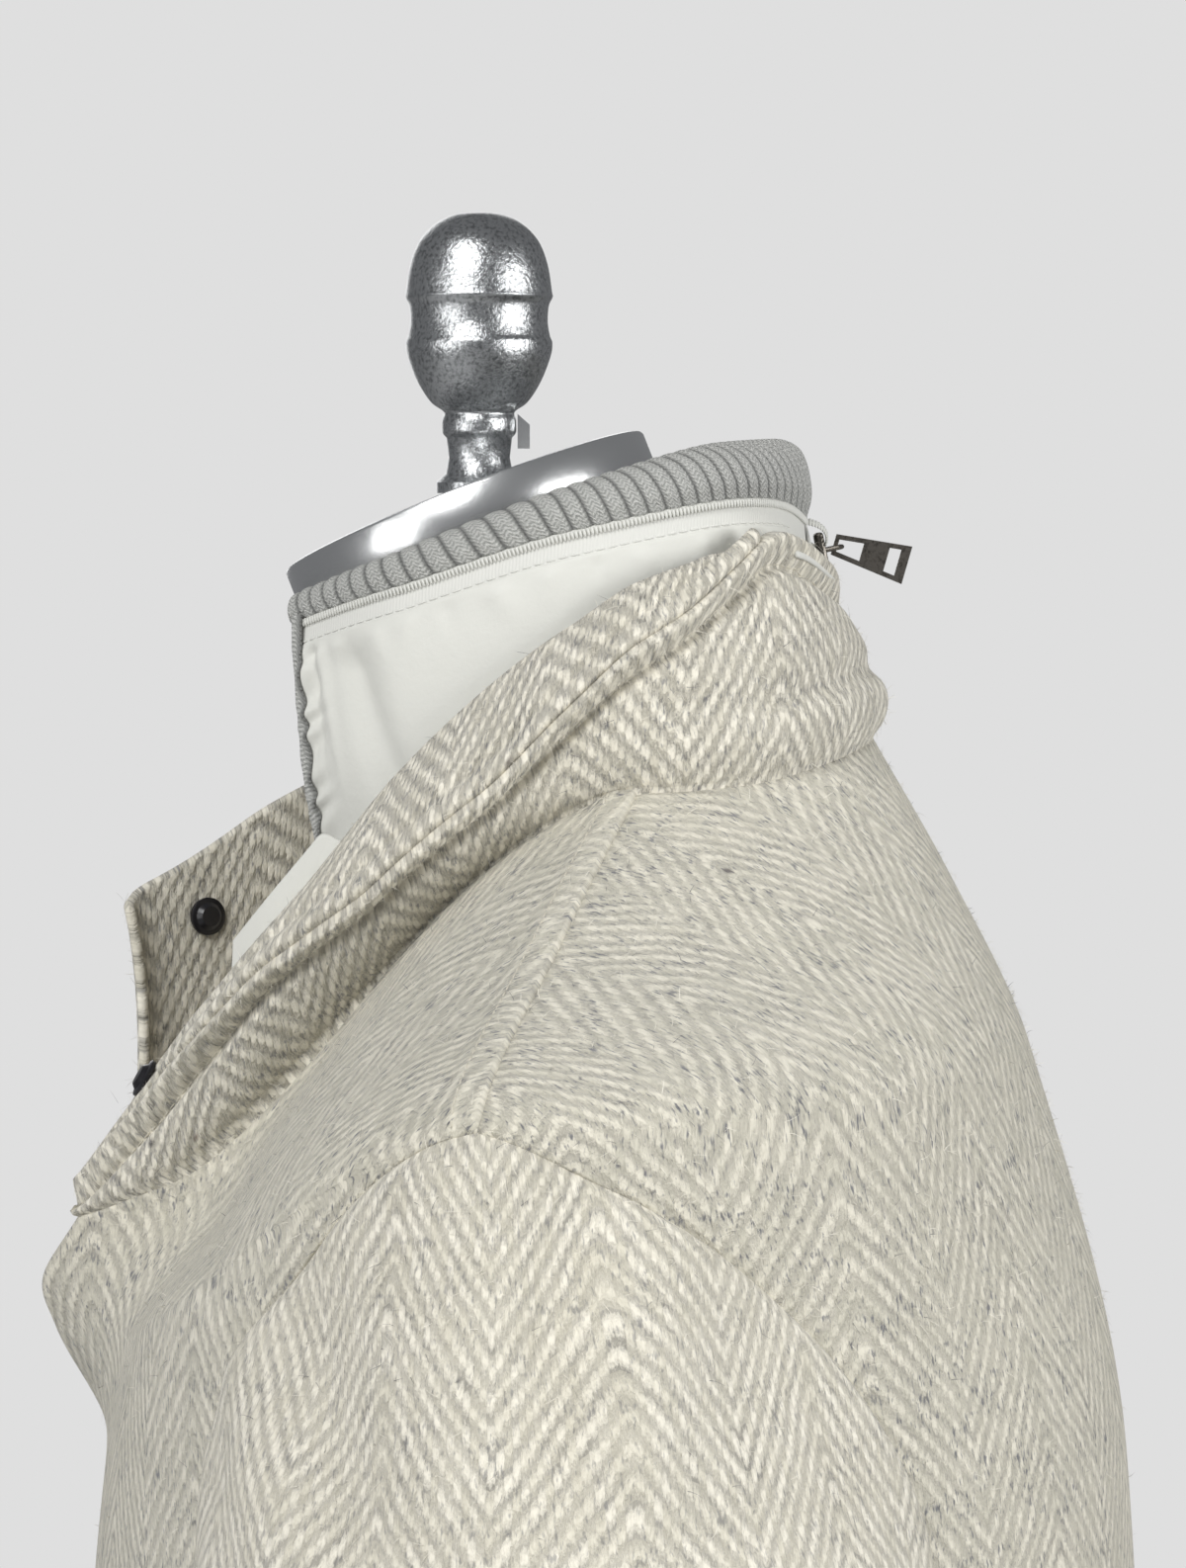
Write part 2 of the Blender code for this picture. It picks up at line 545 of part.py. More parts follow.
def strip(name, rows, thickness, material):
    """A thin strip: rows of points down its outer face, top first."""
    outer = np.array(rows)[::-1]
    return wall(name, outer, outer - thickness * grid_normals(outer), material)


def upper_zip_tape():
    edge, out = zip_edge(np.linspace(-60, 82, 41))
    down = np.array([0, 0, -1.0])
    return strip("zip_tape_upper", [edge + down * SEAM, edge + down * (SEAM + ZIP_TAPE) + out * 0.0008],
                 ZIP_THICK, ZIP_WHITE)


LINING_TURNS = np.linspace(-59.5, 66, 27)
LINING_DROPS = ((0.0, 0.0010), (0.016, 0.0022), (0.036, 0.0030), (0.056, 0.0016))  # down, and out from the tape


def pouch_lining():
    """The pouch's inner side, from the upper tape down behind the wool."""
    edge, out = zip_edge(LINING_TURNS)
    down = np.array([0, 0, -1.0])
    lean = smooth(KNIT_ALL, "turn_deg", "lean", LINING_TURNS)[:, None] * np.array([0, 1.0, 0])
    rows = [edge + down * (2 * SEAM + ZIP_TAPE + d) + out * o + lean * d / 0.06 for d, o in LINING_DROPS]
    return strip("pouch_lining", rows, LINING, NYLON)


POUCH_EDGE_FROM, POUCH_EDGE_TO = 0.088, 0.17
POUCH_EDGE_RISE = 0.011


def pouch_edge():
    """The pouch's outer side, a strip of lining that stands just inside the top collar."""
    along = np.linspace(POUCH_EDGE_FROM, POUCH_EDGE_TO, 13)
    grid, _, out = facing_grid(along)
    edge = grid[-1] - CLOTH * grid_normals(grid)[-1]
    up = np.array([0, 0, 1.0])
    rows = [edge - out * o + up * u for o, u in ((0.0012, POUCH_EDGE_RISE), (0.0004, 0.0), (0.0012, -0.008))]
    return strip("pouch_edge", rows, LINING, NYLON)


def lower_zip_tape():
    """The lower tape lies on the under collar's top, on the open left side."""
    along = np.linspace(0.405, 0.475, 9)
    grid, _, _ = collar_grid(along, np.array([0.86, 0.98]))
    normals = grid_normals(grid)
    return wall("zip_tape_lower", grid + normals * (SEAM + ZIP_THICK), grid + normals * SEAM, ZIP_WHITE)


ZIP_CLOSED_TURNS = (87, 205)
ZIP_CLOSED_ALONG = (0.493, 0.79)


def closed_zip():
    """The closed right side of the zip, from the knit's edge to the wool collar's top."""
    edge, _ = zip_edge(np.linspace(*ZIP_CLOSED_TURNS, 23))
    top = collar_grid(np.linspace(*ZIP_CLOSED_ALONG, 23), np.array([0.94, 0.97, 1.0]))[0]
    low = top[-1] + unit(top[-1] - top[-2]) * (SEAM + ZIP_THICK * 1.3)
    high = edge - np.array([0, 0, SEAM])
    rows = [high * (1 - t) + low * t for t in np.linspace(0, 1, 3)]
    return strip("zip_closed", rows, ZIP_THICK, ZIP_WHITE)


# The zip's slider and its pull
PULL_TILT = math.radians(16)
PULL_WAY = np.array([0, math.cos(PULL_TILT), -math.sin(PULL_TILT)])   # the pull hangs out along this
BAR_WAY = np.array([0, math.sin(PULL_TILT), math.cos(PULL_TILT)])     # its end bar, about which it swings
SLIDER_WIDE, SLIDER_TALL, SLIDER_THICK = 0.0090, 0.0105, 0.0026
BRIDGE_RADIUS, BRIDGE_STAND, BRIDGE_HALF = 0.0007, 0.0058, 0.0036
PULL_LENGTH, PULL_THICK, PULL_RAIL = 0.0215, 0.0012, 0.0014
PULL_NARROW, PULL_BROAD = 0.0030, 0.0055      # half widths at the slider and at the free end
PULL_BAR_END, WINDOW_END, PLATE_END, SLOT_END = 0.0012, 0.0082, 0.0155, 0.0188
PULL_ROOM = 0.0004


def slider_frame():
    """Middle of the slider's plate, its outward way and its upward way: it lies on the zip at the middle back."""
    high = zip_edge(np.array([89.0, 90.0, 91.0]))[0][1]
    low = collar_grid(np.array([0.49, 0.50, 0.51]), np.array([0.9, 1.0]))[0][1][1]
    rise = unit(high - low) * np.array([0, 1, 1])
    out = np.array([0, rise[2], -rise[1]])
    return (high * 0.4 + low * 0.6) * np.array([0, 1, 1]) + out * (SLIDER_THICK / 2 - 0.0002), out, rise


def rod(mesh, path, radius, side_way, sides=8):
    """A rod through the points of a flat path, added to a bmesh. side_way is square to the path's plane."""
    path = np.array(path)
    ways = unit(np.diff(path, axis=0))
    rings = []
    for k, point in enumerate(path):
        way = unit(ways[max(k - 1, 0)] + ways[min(k, len(ways) - 1)])
        stretch = 1 / max(0.5, way @ ways[min(k, len(ways) - 1)])
        flat = np.cross(side_way, way) * stretch
        turns = np.arange(sides) * 2 * math.pi / sides
        rings.append([mesh.verts.new(point + radius * (math.cos(t) * flat + math.sin(t) * side_way)) for t in turns])
    for low, high in zip(rings, rings[1:]):
        for k in range(sides):
            mesh.faces.new((low[k], low[(k + 1) % sides], high[(k + 1) % sides], high[k]))
    mesh.faces.new(rings[0])
    mesh.faces.new(rings[-1])


def zip_slider():
    """A bevelled plate with a bridge standing on it, under which the pull's end bar runs."""
    middle, out, rise = slider_frame()
    plate = bmesh.new()
    bmesh.ops.create_cube(plate, size=1)
    place = Matrix.Identity(4)
    for k, (way, size) in enumerate(((np.array([1.0, 0, 0]), SLIDER_WIDE), (out, SLIDER_THICK), (rise, SLIDER_TALL))):
        for row in range(3):
            place[row][k] = way[row] * size
    place.translation = Vector(middle)
    bmesh.ops.transform(plate, matrix=place, verts=plate.verts)
    made = finish_mesh("zip_slider", plate, GUNMETAL)
    bevel = made.modifiers.new("round", "BEVEL")
    bevel.width, bevel.segments = 0.0008, 2
    left = np.array([1.0, 0, 0])
    bridge = bmesh.new()
    rod(bridge, (middle + left * BRIDGE_HALF - out * 0.0004,
                 middle + left * BRIDGE_HALF + out * (BRIDGE_STAND - 0.0012),
                 middle + left * (BRIDGE_HALF - 0.0012) + out * BRIDGE_STAND,
                 middle - left * (BRIDGE_HALF - 0.0012) + out * BRIDGE_STAND,
                 middle - left * BRIDGE_HALF + out * (BRIDGE_STAND - 0.0012),
                 middle - left * BRIDGE_HALF - out * 0.0004), BRIDGE_RADIUS, rise)
    cutter = finish_mesh("bridge", bridge, GUNMETAL)
    PARTS.objects.unlink(cutter)
    TOOLS.objects.link(cutter)
    union = made.modifiers.new("bridge", "BOOLEAN")
    union.operation, union.solver, union.object = "UNION", "EXACT", cutter
    return made


def zip_pull():
    """A flat tab with a window round the bridge, a bare plate and a slot near its broad free end."""
    middle, out, _ = slider_frame()
    start = middle + out * BRIDGE_STAND - PULL_WAY * (PULL_BAR_END + PULL_ROOM + BRIDGE_RADIUS)
    hinge = start + PULL_WAY * PULL_BAR_END / 2
    stations = (0.0, PULL_BAR_END, WINDOW_END, PLATE_END, SLOT_END, PULL_LENGTH)
    mesh = bmesh.new()
    grid = []
    for s in stations:
        half = PULL_NARROW + (PULL_BROAD - PULL_NARROW) * s / PULL_LENGTH
        grid.append([mesh.verts.new(start - hinge + PULL_WAY * s + BAR_WAY * h - np.array([PULL_THICK / 2, 0, 0]))
                     for h in (-half, PULL_RAIL - half, half - PULL_RAIL, half)])
    faces = [mesh.faces.new((grid[c][r], grid[c + 1][r], grid[c + 1][r + 1], grid[c][r + 1]))
             for c in range(5) for r in range(3) if not (r == 1 and c in (1, 3))]
    thick = bmesh.ops.extrude_face_region(mesh, geom=faces, use_keep_orig=True)
    moved = [g for g in thick["geom"] if isinstance(g, bmesh.types.BMVert)]
    bmesh.ops.translate(mesh, vec=(PULL_THICK, 0, 0), verts=moved)
    made = finish_mesh("zip_pull", mesh, GUNMETAL)
    made.location = hinge
    return made


# Snaps and buttons
def standing(point, normal):
    """A placing whose Z axis is the normal."""
    turn = Vector((0, 0, 1)).rotation_difference(Vector(normal)).to_matrix().to_4x4()
    return Matrix.Translation(Vector(point)) @ turn


SNAP_OUTLINE = ((0.0, SNAP_HEIGHT), (SNAP_RADIUS * 0.55, SNAP_HEIGHT), (SNAP_RADIUS * 0.75, SNAP_HEIGHT * 0.5),
                (SNAP_RADIUS, SNAP_HEIGHT * 0.35), (SNAP_RADIUS, 0.0), (0.0, 0.0))
BUTTON_OUTLINE = ((0.0, BUTTON_HEIGHT * 0.6), (BUTTON_RADIUS * 0.6, BUTTON_HEIGHT * 0.6),
                  (BUTTON_RADIUS * 0.78, BUTTON_HEIGHT), (BUTTON_RADIUS * 0.94, BUTTON_HEIGHT * 0.9),
                  (BUTTON_RADIUS, BUTTON_HEIGHT * 0.5), (BUTTON_RADIUS * 0.9, 0.0), (0.0, 0.0))


def snaps():
    along = np.array([0.030, 0.038, 0.046])
    grid, _, _ = facing_grid(along)
    turned("snap_left", SNAP_OUTLINE, BLACK, 16, standing(grid[3, 1] + grid_normals(grid)[3, 1] * 0.0006,
                                                          grid_normals(grid)[3, 1]))
    along = np.array([0.950, 0.962, 0.974])
    grid, _, _ = collar_grid(along, np.array([0.66, 0.72, 0.78]))
    normal = grid_normals(grid)[1, 1]
    turned("snap_right", SNAP_OUTLINE, BLACK, 16, standing(grid[1, 1] - normal * (CLOTH + 0.0005), -normal))


def buttons():
    for number, level in enumerate(BUTTON_LEVELS, 1):
        point, normal = face_of(lambda a, b: coat_point(a, b, 1), np.array([-math.pi / 2]), np.array([level]))
        turned(f"button_{number}", BUTTON_OUTLINE, BLACK, 20, standing(point[0] + normal[0] * 0.0006, normal[0]))


# The dress form and its stand
def form_ring(ring, droop):
    turns = np.arange(FORM_SIDES) * 2 * math.pi / FORM_SIDES
    c, s = np.cos(turns), np.sin(turns)
    depth = np.where(s < 0, ring.side_y - ring.front_y, ring.back_y - ring.side_y)
    middle_z = np.where(s < 0, ring.front_z, ring.back_z)
    return np.stack([ring.half_width * c, ring.side_y + depth * s,
                     ring.level + (middle_z - ring.level) * np.abs(s) ** droop], 1)


def shoulder_ring(level):
    """A ring of the form under the coat's shoulders: only its ridge comes up to the cloth."""
    point, normal = face_of(coat_point, np.array([0.0]), np.array([level]))
    x, side_y, z = point[0] - normal[0] * (CLOTH + REST_GAP)
    column = {n: float(smooth(COAT_RINGS, "level", n, level)) for n in Ring._fields[1:]}
    front_y, back_y = (side_y + (column[n] - side_y) * 0.66 for n in ("front_y", "back_y"))
    front_z, back_z = (z + (column[n] - level) * 0.85 for n in ("front_z", "back_z"))
    return form_ring(FormRing(z, x, front_y, back_y, front_z, back_z, side_y), FRONT_DROOP)


def bust():
    rings = [form_ring(r, 2.0) for r in FORM_RINGS] + [shoulder_ring(l) for l in FORM_SHOULDER_LEVELS]
    rings += [form_ring(r, 1.0) for r in FORM_NECK_RINGS]
    mesh = bmesh.new()
    grid = [[mesh.verts.new(p) for p in ring] for ring in rings]
    for low, high in zip(grid, grid[1:]):
        for k in range(FORM_SIDES):
            n = (k + 1) % FORM_SIDES
            mesh.faces.new((low[k], low[n], high[n], high[k]))
    mesh.faces.new(grid[0])
    mesh.faces.new(grid[-1])
    return finish_mesh("bust", mesh, LINEN)


def stand():
    rim = 0.0025
    cap = turned("neck_cap", ((0.0, CAP_FLOOR), (CAP_RADIUS - rim - 0.002, CAP_FLOOR),
                              (CAP_RADIUS - rim, CAP_HEIGHT - 0.001),
                              (CAP_RADIUS - rim / 2, CAP_HEIGHT), (CAP_RADIUS, CAP_HEIGHT - 0.001),
                              (CAP_RADIUS, 0.001), (CAP_RADIUS - 0.001, 0.0), (0.0, 0.0)), CHROME, 40,
                 Matrix.Translation((0, NECK_Y, CAP_Z)) @ Matrix.Rotation(CAP_TILT, 4, "X"))
    bore = bmesh.new()
    bmesh.ops.create_cone(bore, cap_ends=True, segments=24, radius1=FINIAL_SPIGOT + 0.0004,
                          radius2=FINIAL_SPIGOT + 0.0004, depth=0.040)
    bmesh.ops.translate(bore, vec=(0, NECK_Y, 1.5311 + 0.020), verts=bore.verts)
    cutter = finish_mesh("bore", bore, CHROME)
    PARTS.objects.unlink(cutter)
    TOOLS.objects.link(cutter)
    cut = cap.modifiers.new("bore", "BOOLEAN")
    cut.operation, cut.solver, cut.object = "DIFFERENCE", "EXACT", cutter
    turned("finial", FINIAL_ROWS, CHROME, 20, Matrix.Translation((0, NECK_Y, 0)))
    lever = bmesh.new()
    near, far, low, top = NECK_Y + 0.0108, NECK_Y + 0.0142, 1.5525, 1.5622
    sides = [[lever.verts.new((x, y, z)) for y, z in ((near, low), (far, low), (far, top - 0.003), (near, top))]
             for x in (-0.0022, 0.0022)]
    for face in (sides[0], sides[1]):
        lever.faces.new(face)
    for k in range(4):
        n = (k + 1) % 4
        lever.faces.new((sides[0][k], sides[0][n], sides[1][n], sides[1][k]))
    finish_mesh("finial_lever", lever, CHROME)
    turned("pole", ((0.0, FORM_RINGS[0].level - 0.0004), (POLE_RADIUS, FORM_RINGS[0].level - 0.0004),
                    (POLE_RADIUS, BASE_HEIGHT + 0.030), (0.028, BASE_HEIGHT + 0.012), (0.032, BASE_HEIGHT + 0.0004),
                    (0.0, BASE_HEIGHT + 0.0004)), CHROME, 28)
    turned("base_plate", ((0.0, BASE_HEIGHT), (BASE_RADIUS - 0.003, BASE_HEIGHT), (BASE_RADIUS, BASE_HEIGHT - 0.003),
                          (BASE_RADIUS, 0.0), (0.0, 0.0)), CHROME, 48)


for old in list(bpy.data.objects):
    bpy.data.objects.remove(old)
PARTS = bpy.data.collections.new("wool_coat_on_form")
TOOLS = bpy.data.collections.new("shaping_tools")
for made_collection in (PARTS, TOOLS):
    bpy.context.scene.collection.children.link(made_collection)

WOOL = colour("herringbone_wool", (0.60, 0.59, 0.53), 0.95)
KNIT_GREY = colour("rib_knit", (0.50, 0.48, 0.47), 0.95)
NYLON = colour("white_nylon", (0.86, 0.86, 0.87), 0.60)
ZIP_WHITE = colour("zip_white", (0.84, 0.84, 0.84), 0.70)
GUNMETAL = colour("gunmetal", (0.10, 0.10, 0.10), 0.35, 1.0)
BLACK = colour("black_horn", (0.02, 0.02, 0.02), 0.40)
LINEN = colour("form_linen", (0.70, 0.68, 0.64), 0.90)
CHROME = colour("brushed_metal", (0.62, 0.62, 0.62), 0.25, 1.0)

back_panel()
front_panel(1)
front_panel(-1)
for hand, way in (("left", 1), ("right", -1)):
    sleeve_piece(f"top_sleeve_{hand}", -SLEEVE_SEAM_DEG, SLEEVE_SEAM_DEG, TOP_SLEEVE_COLUMNS, way)
    sleeve_piece(f"under_sleeve_{hand}", SLEEVE_SEAM_DEG, 360 - SLEEVE_SEAM_DEG, UNDER_SLEEVE_COLUMNS, way)
under_collar()
top_collar()
knit_collar()
upper_zip_tape()
pouch_lining()
pouch_edge()
lower_zip_tape()
closed_zip()
zip_slider()
zip_pull()
snaps()
buttons()
bust()
stand()
for tool in TOOLS.objects:
    tool.hide_render = True
    tool.display_type = "WIRE"
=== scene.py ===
# %% [markdown]
# # A herringbone wool coat on a dress form
#
# The coat is cut from a thick, napped wool and zipped to a rib-knit inner collar. The photograph looks
# square at its left shoulder. Each cloth piece below is one surface of two parameters, turned into a
# thin wall, so the seams stay where a tailor would put them.

# %% Load the frame
import math
from collections import namedtuple

import bpy
import numpy as np
from mathutils import Matrix, Vector


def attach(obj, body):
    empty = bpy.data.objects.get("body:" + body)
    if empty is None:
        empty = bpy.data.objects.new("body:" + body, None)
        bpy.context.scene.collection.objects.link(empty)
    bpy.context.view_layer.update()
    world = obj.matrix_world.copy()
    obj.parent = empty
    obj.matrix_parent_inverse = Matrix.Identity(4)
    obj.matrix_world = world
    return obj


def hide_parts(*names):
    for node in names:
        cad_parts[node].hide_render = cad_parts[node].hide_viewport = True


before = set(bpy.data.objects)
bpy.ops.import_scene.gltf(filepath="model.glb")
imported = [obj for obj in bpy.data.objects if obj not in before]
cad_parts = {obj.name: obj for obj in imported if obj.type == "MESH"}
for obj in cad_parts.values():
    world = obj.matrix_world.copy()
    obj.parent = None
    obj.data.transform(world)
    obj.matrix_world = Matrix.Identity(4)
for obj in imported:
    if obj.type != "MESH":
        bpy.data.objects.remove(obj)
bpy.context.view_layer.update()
UP = np.array([0.0, 0.0, 1.0])

# %% [markdown]
# ## Colours and nodes
#
# Colours are written as sRGB hex values, and a renderer wants linear light, so one function converts them.
# A second small function adds a node with its settings and links. That keeps each
# finish short enough to read as a recipe.

# %% Two helpers for finishes
def linear(hex_colour):
    """sRGB hex to linear RGBA: each channel is (c + 0.055) / 1.055 to the power 2.4, or c / 12.92 if dark."""
    channels = [int(hex_colour[k:k + 2], 16) / 255 for k in (1, 3, 5)]
    return (*(((c + 0.055) / 1.055) ** 2.4 if c > 0.04045 else c / 12.92 for c in channels), 1.0)


def add(tree, kind, sockets=None, out=0, **settings):
    """A new node with its properties set and its sockets filled by values, hex colours or links."""
    node = tree.nodes.new("ShaderNode" + kind)
    for name, value in settings.items():
        setattr(node, name, value)
    for socket, value in (sockets or {}).items():
        if isinstance(value, bpy.types.NodeSocket):
            tree.links.new(value, node.inputs[socket])
        else:
            node.inputs[socket].default_value = linear(value) if isinstance(value, str) else value
    return node.outputs[out]


def new_finish(name, **sockets):
    """A material with a Principled shader whose constant values are set on its own sockets."""
    material = bpy.data.materials.new(name)
    material.use_nodes = True
    shader = material.node_tree.nodes["Principled BSDF"]
    for socket, value in sockets.items():
        value = linear(value) if isinstance(value, str) else value
        shader.inputs[socket.replace("_", " ")].default_value = value
    return material, material.node_tree, shader


print("helpers: linear, add, new_finish")

# %% [markdown]
# ## The wool
#
# The cloth is a woollen herringbone: twill lines that lean one way in one stripe and the other way in the
# next. A picture of it could be wrapped on, but it would smear at the seams. Here the pattern is worked out
# from the piece's own UV map, which is in metres along the warp and across it, so the lines keep their
# true spacing. The stripes fold back and forth with a ping-pong, the lines are a sine along the slanted
# distance, and noise loosens both, because a fulled wool is never crisp.

# %% Herringbone wool
STRIPE = 0.0340           # one lean of the herringbone
LINE_PITCH = 0.0080       # from one twill line to the next, along the warp
YARN = 0.0022             # one warp yarn
LEAN = 1.30               # the lines rise about 52 degrees


def herringbone_wool(name, clear, chunk, shade, pale, dark_fibres, relief):
    """Woven and fulled wool: cream yarns that step along the twill lines, with grey painted shade in the gaps
    between them. clear is how much of that painted shade shows through the nap, chunk how far each yarn
    stands alone, shade and pale the range of the cream, dark_fibres the share of loose dark ones, and relief
    the yarns' height in metres."""
    finish, tree, shader = new_finish(name, Roughness=0.95, Sheen_Weight=0.25, Sheen_Roughness=0.6,
                                      Specular_IOR_Level=0.1)
    place = add(tree, "UVMap", uv_map="cloth")
    # the yarns wander by a millimetre or two over a few centimetres, and a little over their own width
    broad = add(tree, "TexNoise", {"Vector": place, "Scale": 55.0, "Detail": 1.0}, out="Color")
    close = add(tree, "TexNoise", {"Vector": place, "Scale": 420.0, "Detail": 2.0}, out="Color")
    drift = add(tree, "VectorMath", {0: broad, 1: (0.0024, 0.0040, 0.0), 2: place}, operation="MULTIPLY_ADD")
    moved = add(tree, "VectorMath", {0: close, 1: (0.0007, 0.0009, 0.0), 2: drift}, operation="MULTIPLY_ADD")
    across = add(tree, "SeparateXYZ", {0: moved})
    along = across.node.outputs[1]
    # stripes of uneven width, folded back and forth, then cut into yarns that each step up the line
    swing = add(tree, "Math", {0: across, 1: 44.0}, operation="MULTIPLY")
    swing = add(tree, "Math", {0: swing}, operation="SINE")
    uneven = add(tree, "Math", {0: swing, 1: 0.0028, 2: across}, operation="MULTIPLY_ADD")
    folded = add(tree, "Math", {0: uneven, 1: STRIPE}, operation="PINGPONG")
    stepped = add(tree, "Math", {0: folded, 1: YARN}, operation="SNAP")
    lane = add(tree, "Mix", {0: chunk, 2: folded, 3: stepped})
    climb = add(tree, "Math", {0: lane, 1: LEAN, 2: along}, operation="MULTIPLY_ADD")
    turns = add(tree, "Math", {0: climb, 1: LINE_PITCH}, operation="DIVIDE")
    wave = add(tree, "Math", {0: turns, 1: 2 * math.pi}, operation="MULTIPLY")
    wave = add(tree, "Math", {0: wave}, operation="SINE")
    yarn = add(tree, "Math", {0: folded, 1: math.pi / YARN}, operation="MULTIPLY")
    yarn = add(tree, "Math", {0: yarn}, operation="SINE")
    crown = add(tree, "Math", {0: yarn}, operation="ABSOLUTE")
    # one random number for each float, and fibres that lie mostly along the warp
    row = add(tree, "Math", {0: turns, 1: 0.25}, operation="ADD")
    row = add(tree, "Math", {0: row}, operation="FLOOR")
    column = add(tree, "Math", {0: stepped, 1: 977.0}, operation="MULTIPLY")
    cell = add(tree, "CombineXYZ", {0: column, 1: row})
    chance = add(tree, "TexWhiteNoise", {"Vector": cell}, noise_dimensions="2D")
    lying = add(tree, "VectorMath", {0: moved, 1: (1.0, 0.40, 1.0)}, operation="MULTIPLY")
    fibre = add(tree, "TexNoise", {"Vector": lying, "Scale": 1500.0, "Detail": 3.0, "Roughness": 0.65})
    cloud = add(tree, "TexNoise", {"Vector": place, "Scale": 60.0, "Detail": 3.0})
    fuzz = add(tree, "MapRange", {"Value": fibre, 1: 0.3, 2: 0.7, 3: -1.0, 4: 1.0})
    high = add(tree, "Math", {0: crown, 1: 1.6 * chunk - 0.5, 2: wave}, operation="MULTIPLY_ADD")
    height = add(tree, "Math", {0: fuzz, 1: 0.55, 2: high}, operation="MULTIPLY_ADD")
    # the low gaps between the yarns are marked here for a grey painted shade
    gap_shade_mask = add(tree, "MapRange", {"Value": height, 1: 0.30, 2: -0.75}, interpolation_type="SMOOTHSTEP")
    shows = add(tree, "MapRange", {"Value": cloud, 1: 0.3, 2: 0.7, 3: clear - 0.24, 4: clear + 0.24})
    depth = add(tree, "MapRange", {"Value": chance, 1: 0.45, 3: 0.42, 4: 1.0})
    depth = add(tree, "Math", {0: depth, 1: shows}, operation="MULTIPLY")
    depth = add(tree, "Math", {0: depth, 1: gap_shade_mask}, operation="MULTIPLY")
    # cream that varies from float to float and fibre to fibre
    lightness = add(tree, "Math", {0: fuzz, 1: 0.35, 2: chance}, operation="MULTIPLY_ADD")
    cream = add(tree, "Mix", {0: lightness, 6: shade, 7: pale}, out=2, data_type="RGBA")
    # grey painted shade in the gaps between the yarns, as far as the nap lets it show
    cloth = add(tree, "Mix", {0: depth, 6: cream, 7: "#74716a"}, out=2, data_type="RGBA")
    # short loose dark fibres in clusters, then rarer neps, some of them brown
    short = add(tree, "VectorMath", {0: moved, 1: (1.0, 0.30, 1.0)}, operation="MULTIPLY")
    streak = add(tree, "TexNoise", {"Vector": short, "Scale": 1100.0, "Detail": 2.0})
    cluster = add(tree, "TexNoise", {"Vector": place, "Scale": 110.0, "Detail": 2.0})
    streak = add(tree, "Math", {0: cluster, 1: 0.45, 2: streak}, operation="MULTIPLY_ADD")
    dark = add(tree, "MapRange", {"Value": streak, 1: 0.80, 2: 0.95, 4: dark_fibres})
    flecked = add(tree, "Mix", {0: dark, 6: cloth, 7: "#6f7075"}, out=2, data_type="RGBA")
    specks = add(tree, "TexVoronoi", {"Vector": moved, "Scale": 52.0, "Randomness": 1.0}, out="Distance")
    kind = add(tree, "SeparateColor", {0: specks.node.outputs["Color"]})
    rare = add(tree, "Math", {0: kind, 1: 0.80}, operation="GREATER_THAN")
    nep = add(tree, "MapRange", {"Value": specks, 1: 0.095, 2: 0.03, 4: 0.85})
    nep = add(tree, "Math", {0: nep, 1: rare}, operation="MULTIPLY")
    tint = add(tree, "Mix", {0: kind.node.outputs[1], 6: "#3b3c43", 7: "#7d6a5a"}, out=2, data_type="RGBA")
    speckled = add(tree, "Mix", {0: nep, 6: flecked, 7: tint}, out=2, data_type="RGBA")
    tree.links.new(speckled, shader.inputs["Base Color"])
    rounded = add(tree, "MapRange", {"Value": height, 1: -1.3, 2: 1.5}, interpolation_type="SMOOTHSTEP")
    bump = add(tree, "Bump", {"Strength": 0.9, "Distance": relief, "Height": rounded})
    tree.links.new(bump, shader.inputs["Normal"])
    return finish


# soft lines on the sleeves, chunky yarns on the collar, a brushed face on the body, whose darker cream is
# partly its own tone and partly painted shade
WOOL_SLEEVE = herringbone_wool("herringbone_wool_sleeve", 0.64, 0.60, "#d5d0bf", "#ece7d8", 0.55, 0.0010)
WOOL_COLLAR = herringbone_wool("herringbone_wool_collar", 0.72, 0.72, "#d4cfbf", "#eee9da", 0.70, 0.0014)
WOOL_BODY = herringbone_wool("herringbone_wool_body", 0.52, 0.55, "#cac6b6", "#e2ddcd", 0.90, 0.0010)
print("finishes:", WOOL_SLEEVE.name, WOOL_COLLAR.name, WOOL_BODY.name)

# %% [markdown]
# ## The coat's sizes
#
# A tailor drafts from a table of girths and levels. Each row here is one ring round the body, and a smooth
# curve through each column gives every level in between. The coat's solids are drafted from such rows too,
# so the cloth made here lies on them, except at the lapels and round the collar's left end, which follow the
# photograph more closely than the solids do.

# %% Rings of the body and the sleeve
CLOTH, SEAM = 0.003, 0.0004
CHEST_LEVEL, SHOULDER_LEVEL, NECK_LEVEL, HEM_LEVEL = 1.165, 1.385, 1.460, 0.600
Ring = namedtuple("Ring", "level half_width front_y back_y front_z back_z side_y square edge_x roll")
COAT_RINGS = tuple(map(Ring._make, (
    (0.600, 0.240, -0.168, 0.172, 0.600, 0.600, 0.004, 2.45, -0.030, 0.000),
    (0.800, 0.228, -0.158, 0.163, 0.800, 0.800, 0.004, 2.45, -0.030, 0.000),
    (1.000, 0.211, -0.150, 0.153, 1.000, 1.000, 0.004, 2.45, -0.030, 0.000),
    (1.165, 0.203, -0.147, 0.151, 1.165, 1.165, 0.005, 2.45, -0.030, 0.000),
    (1.270, 0.206, -0.141, 0.146, 1.255, 1.275, -0.013, 2.40, -0.020, 0.000),
    (1.385, 0.224, -0.133, 0.119, 1.305, 1.388, -0.031, 2.05, 0.006, 0.022),
    (1.425, 0.150, -0.125, 0.097, 1.320, 1.434, -0.012, 2.05, 0.014, 0.033),
    (1.460, 0.085, -0.114, 0.076, 1.333, 1.471, 0.008, 2.00, 0.020, 0.037),
)))
Fold = namedtuple("Fold", "angle_deg half_width_deg depth")
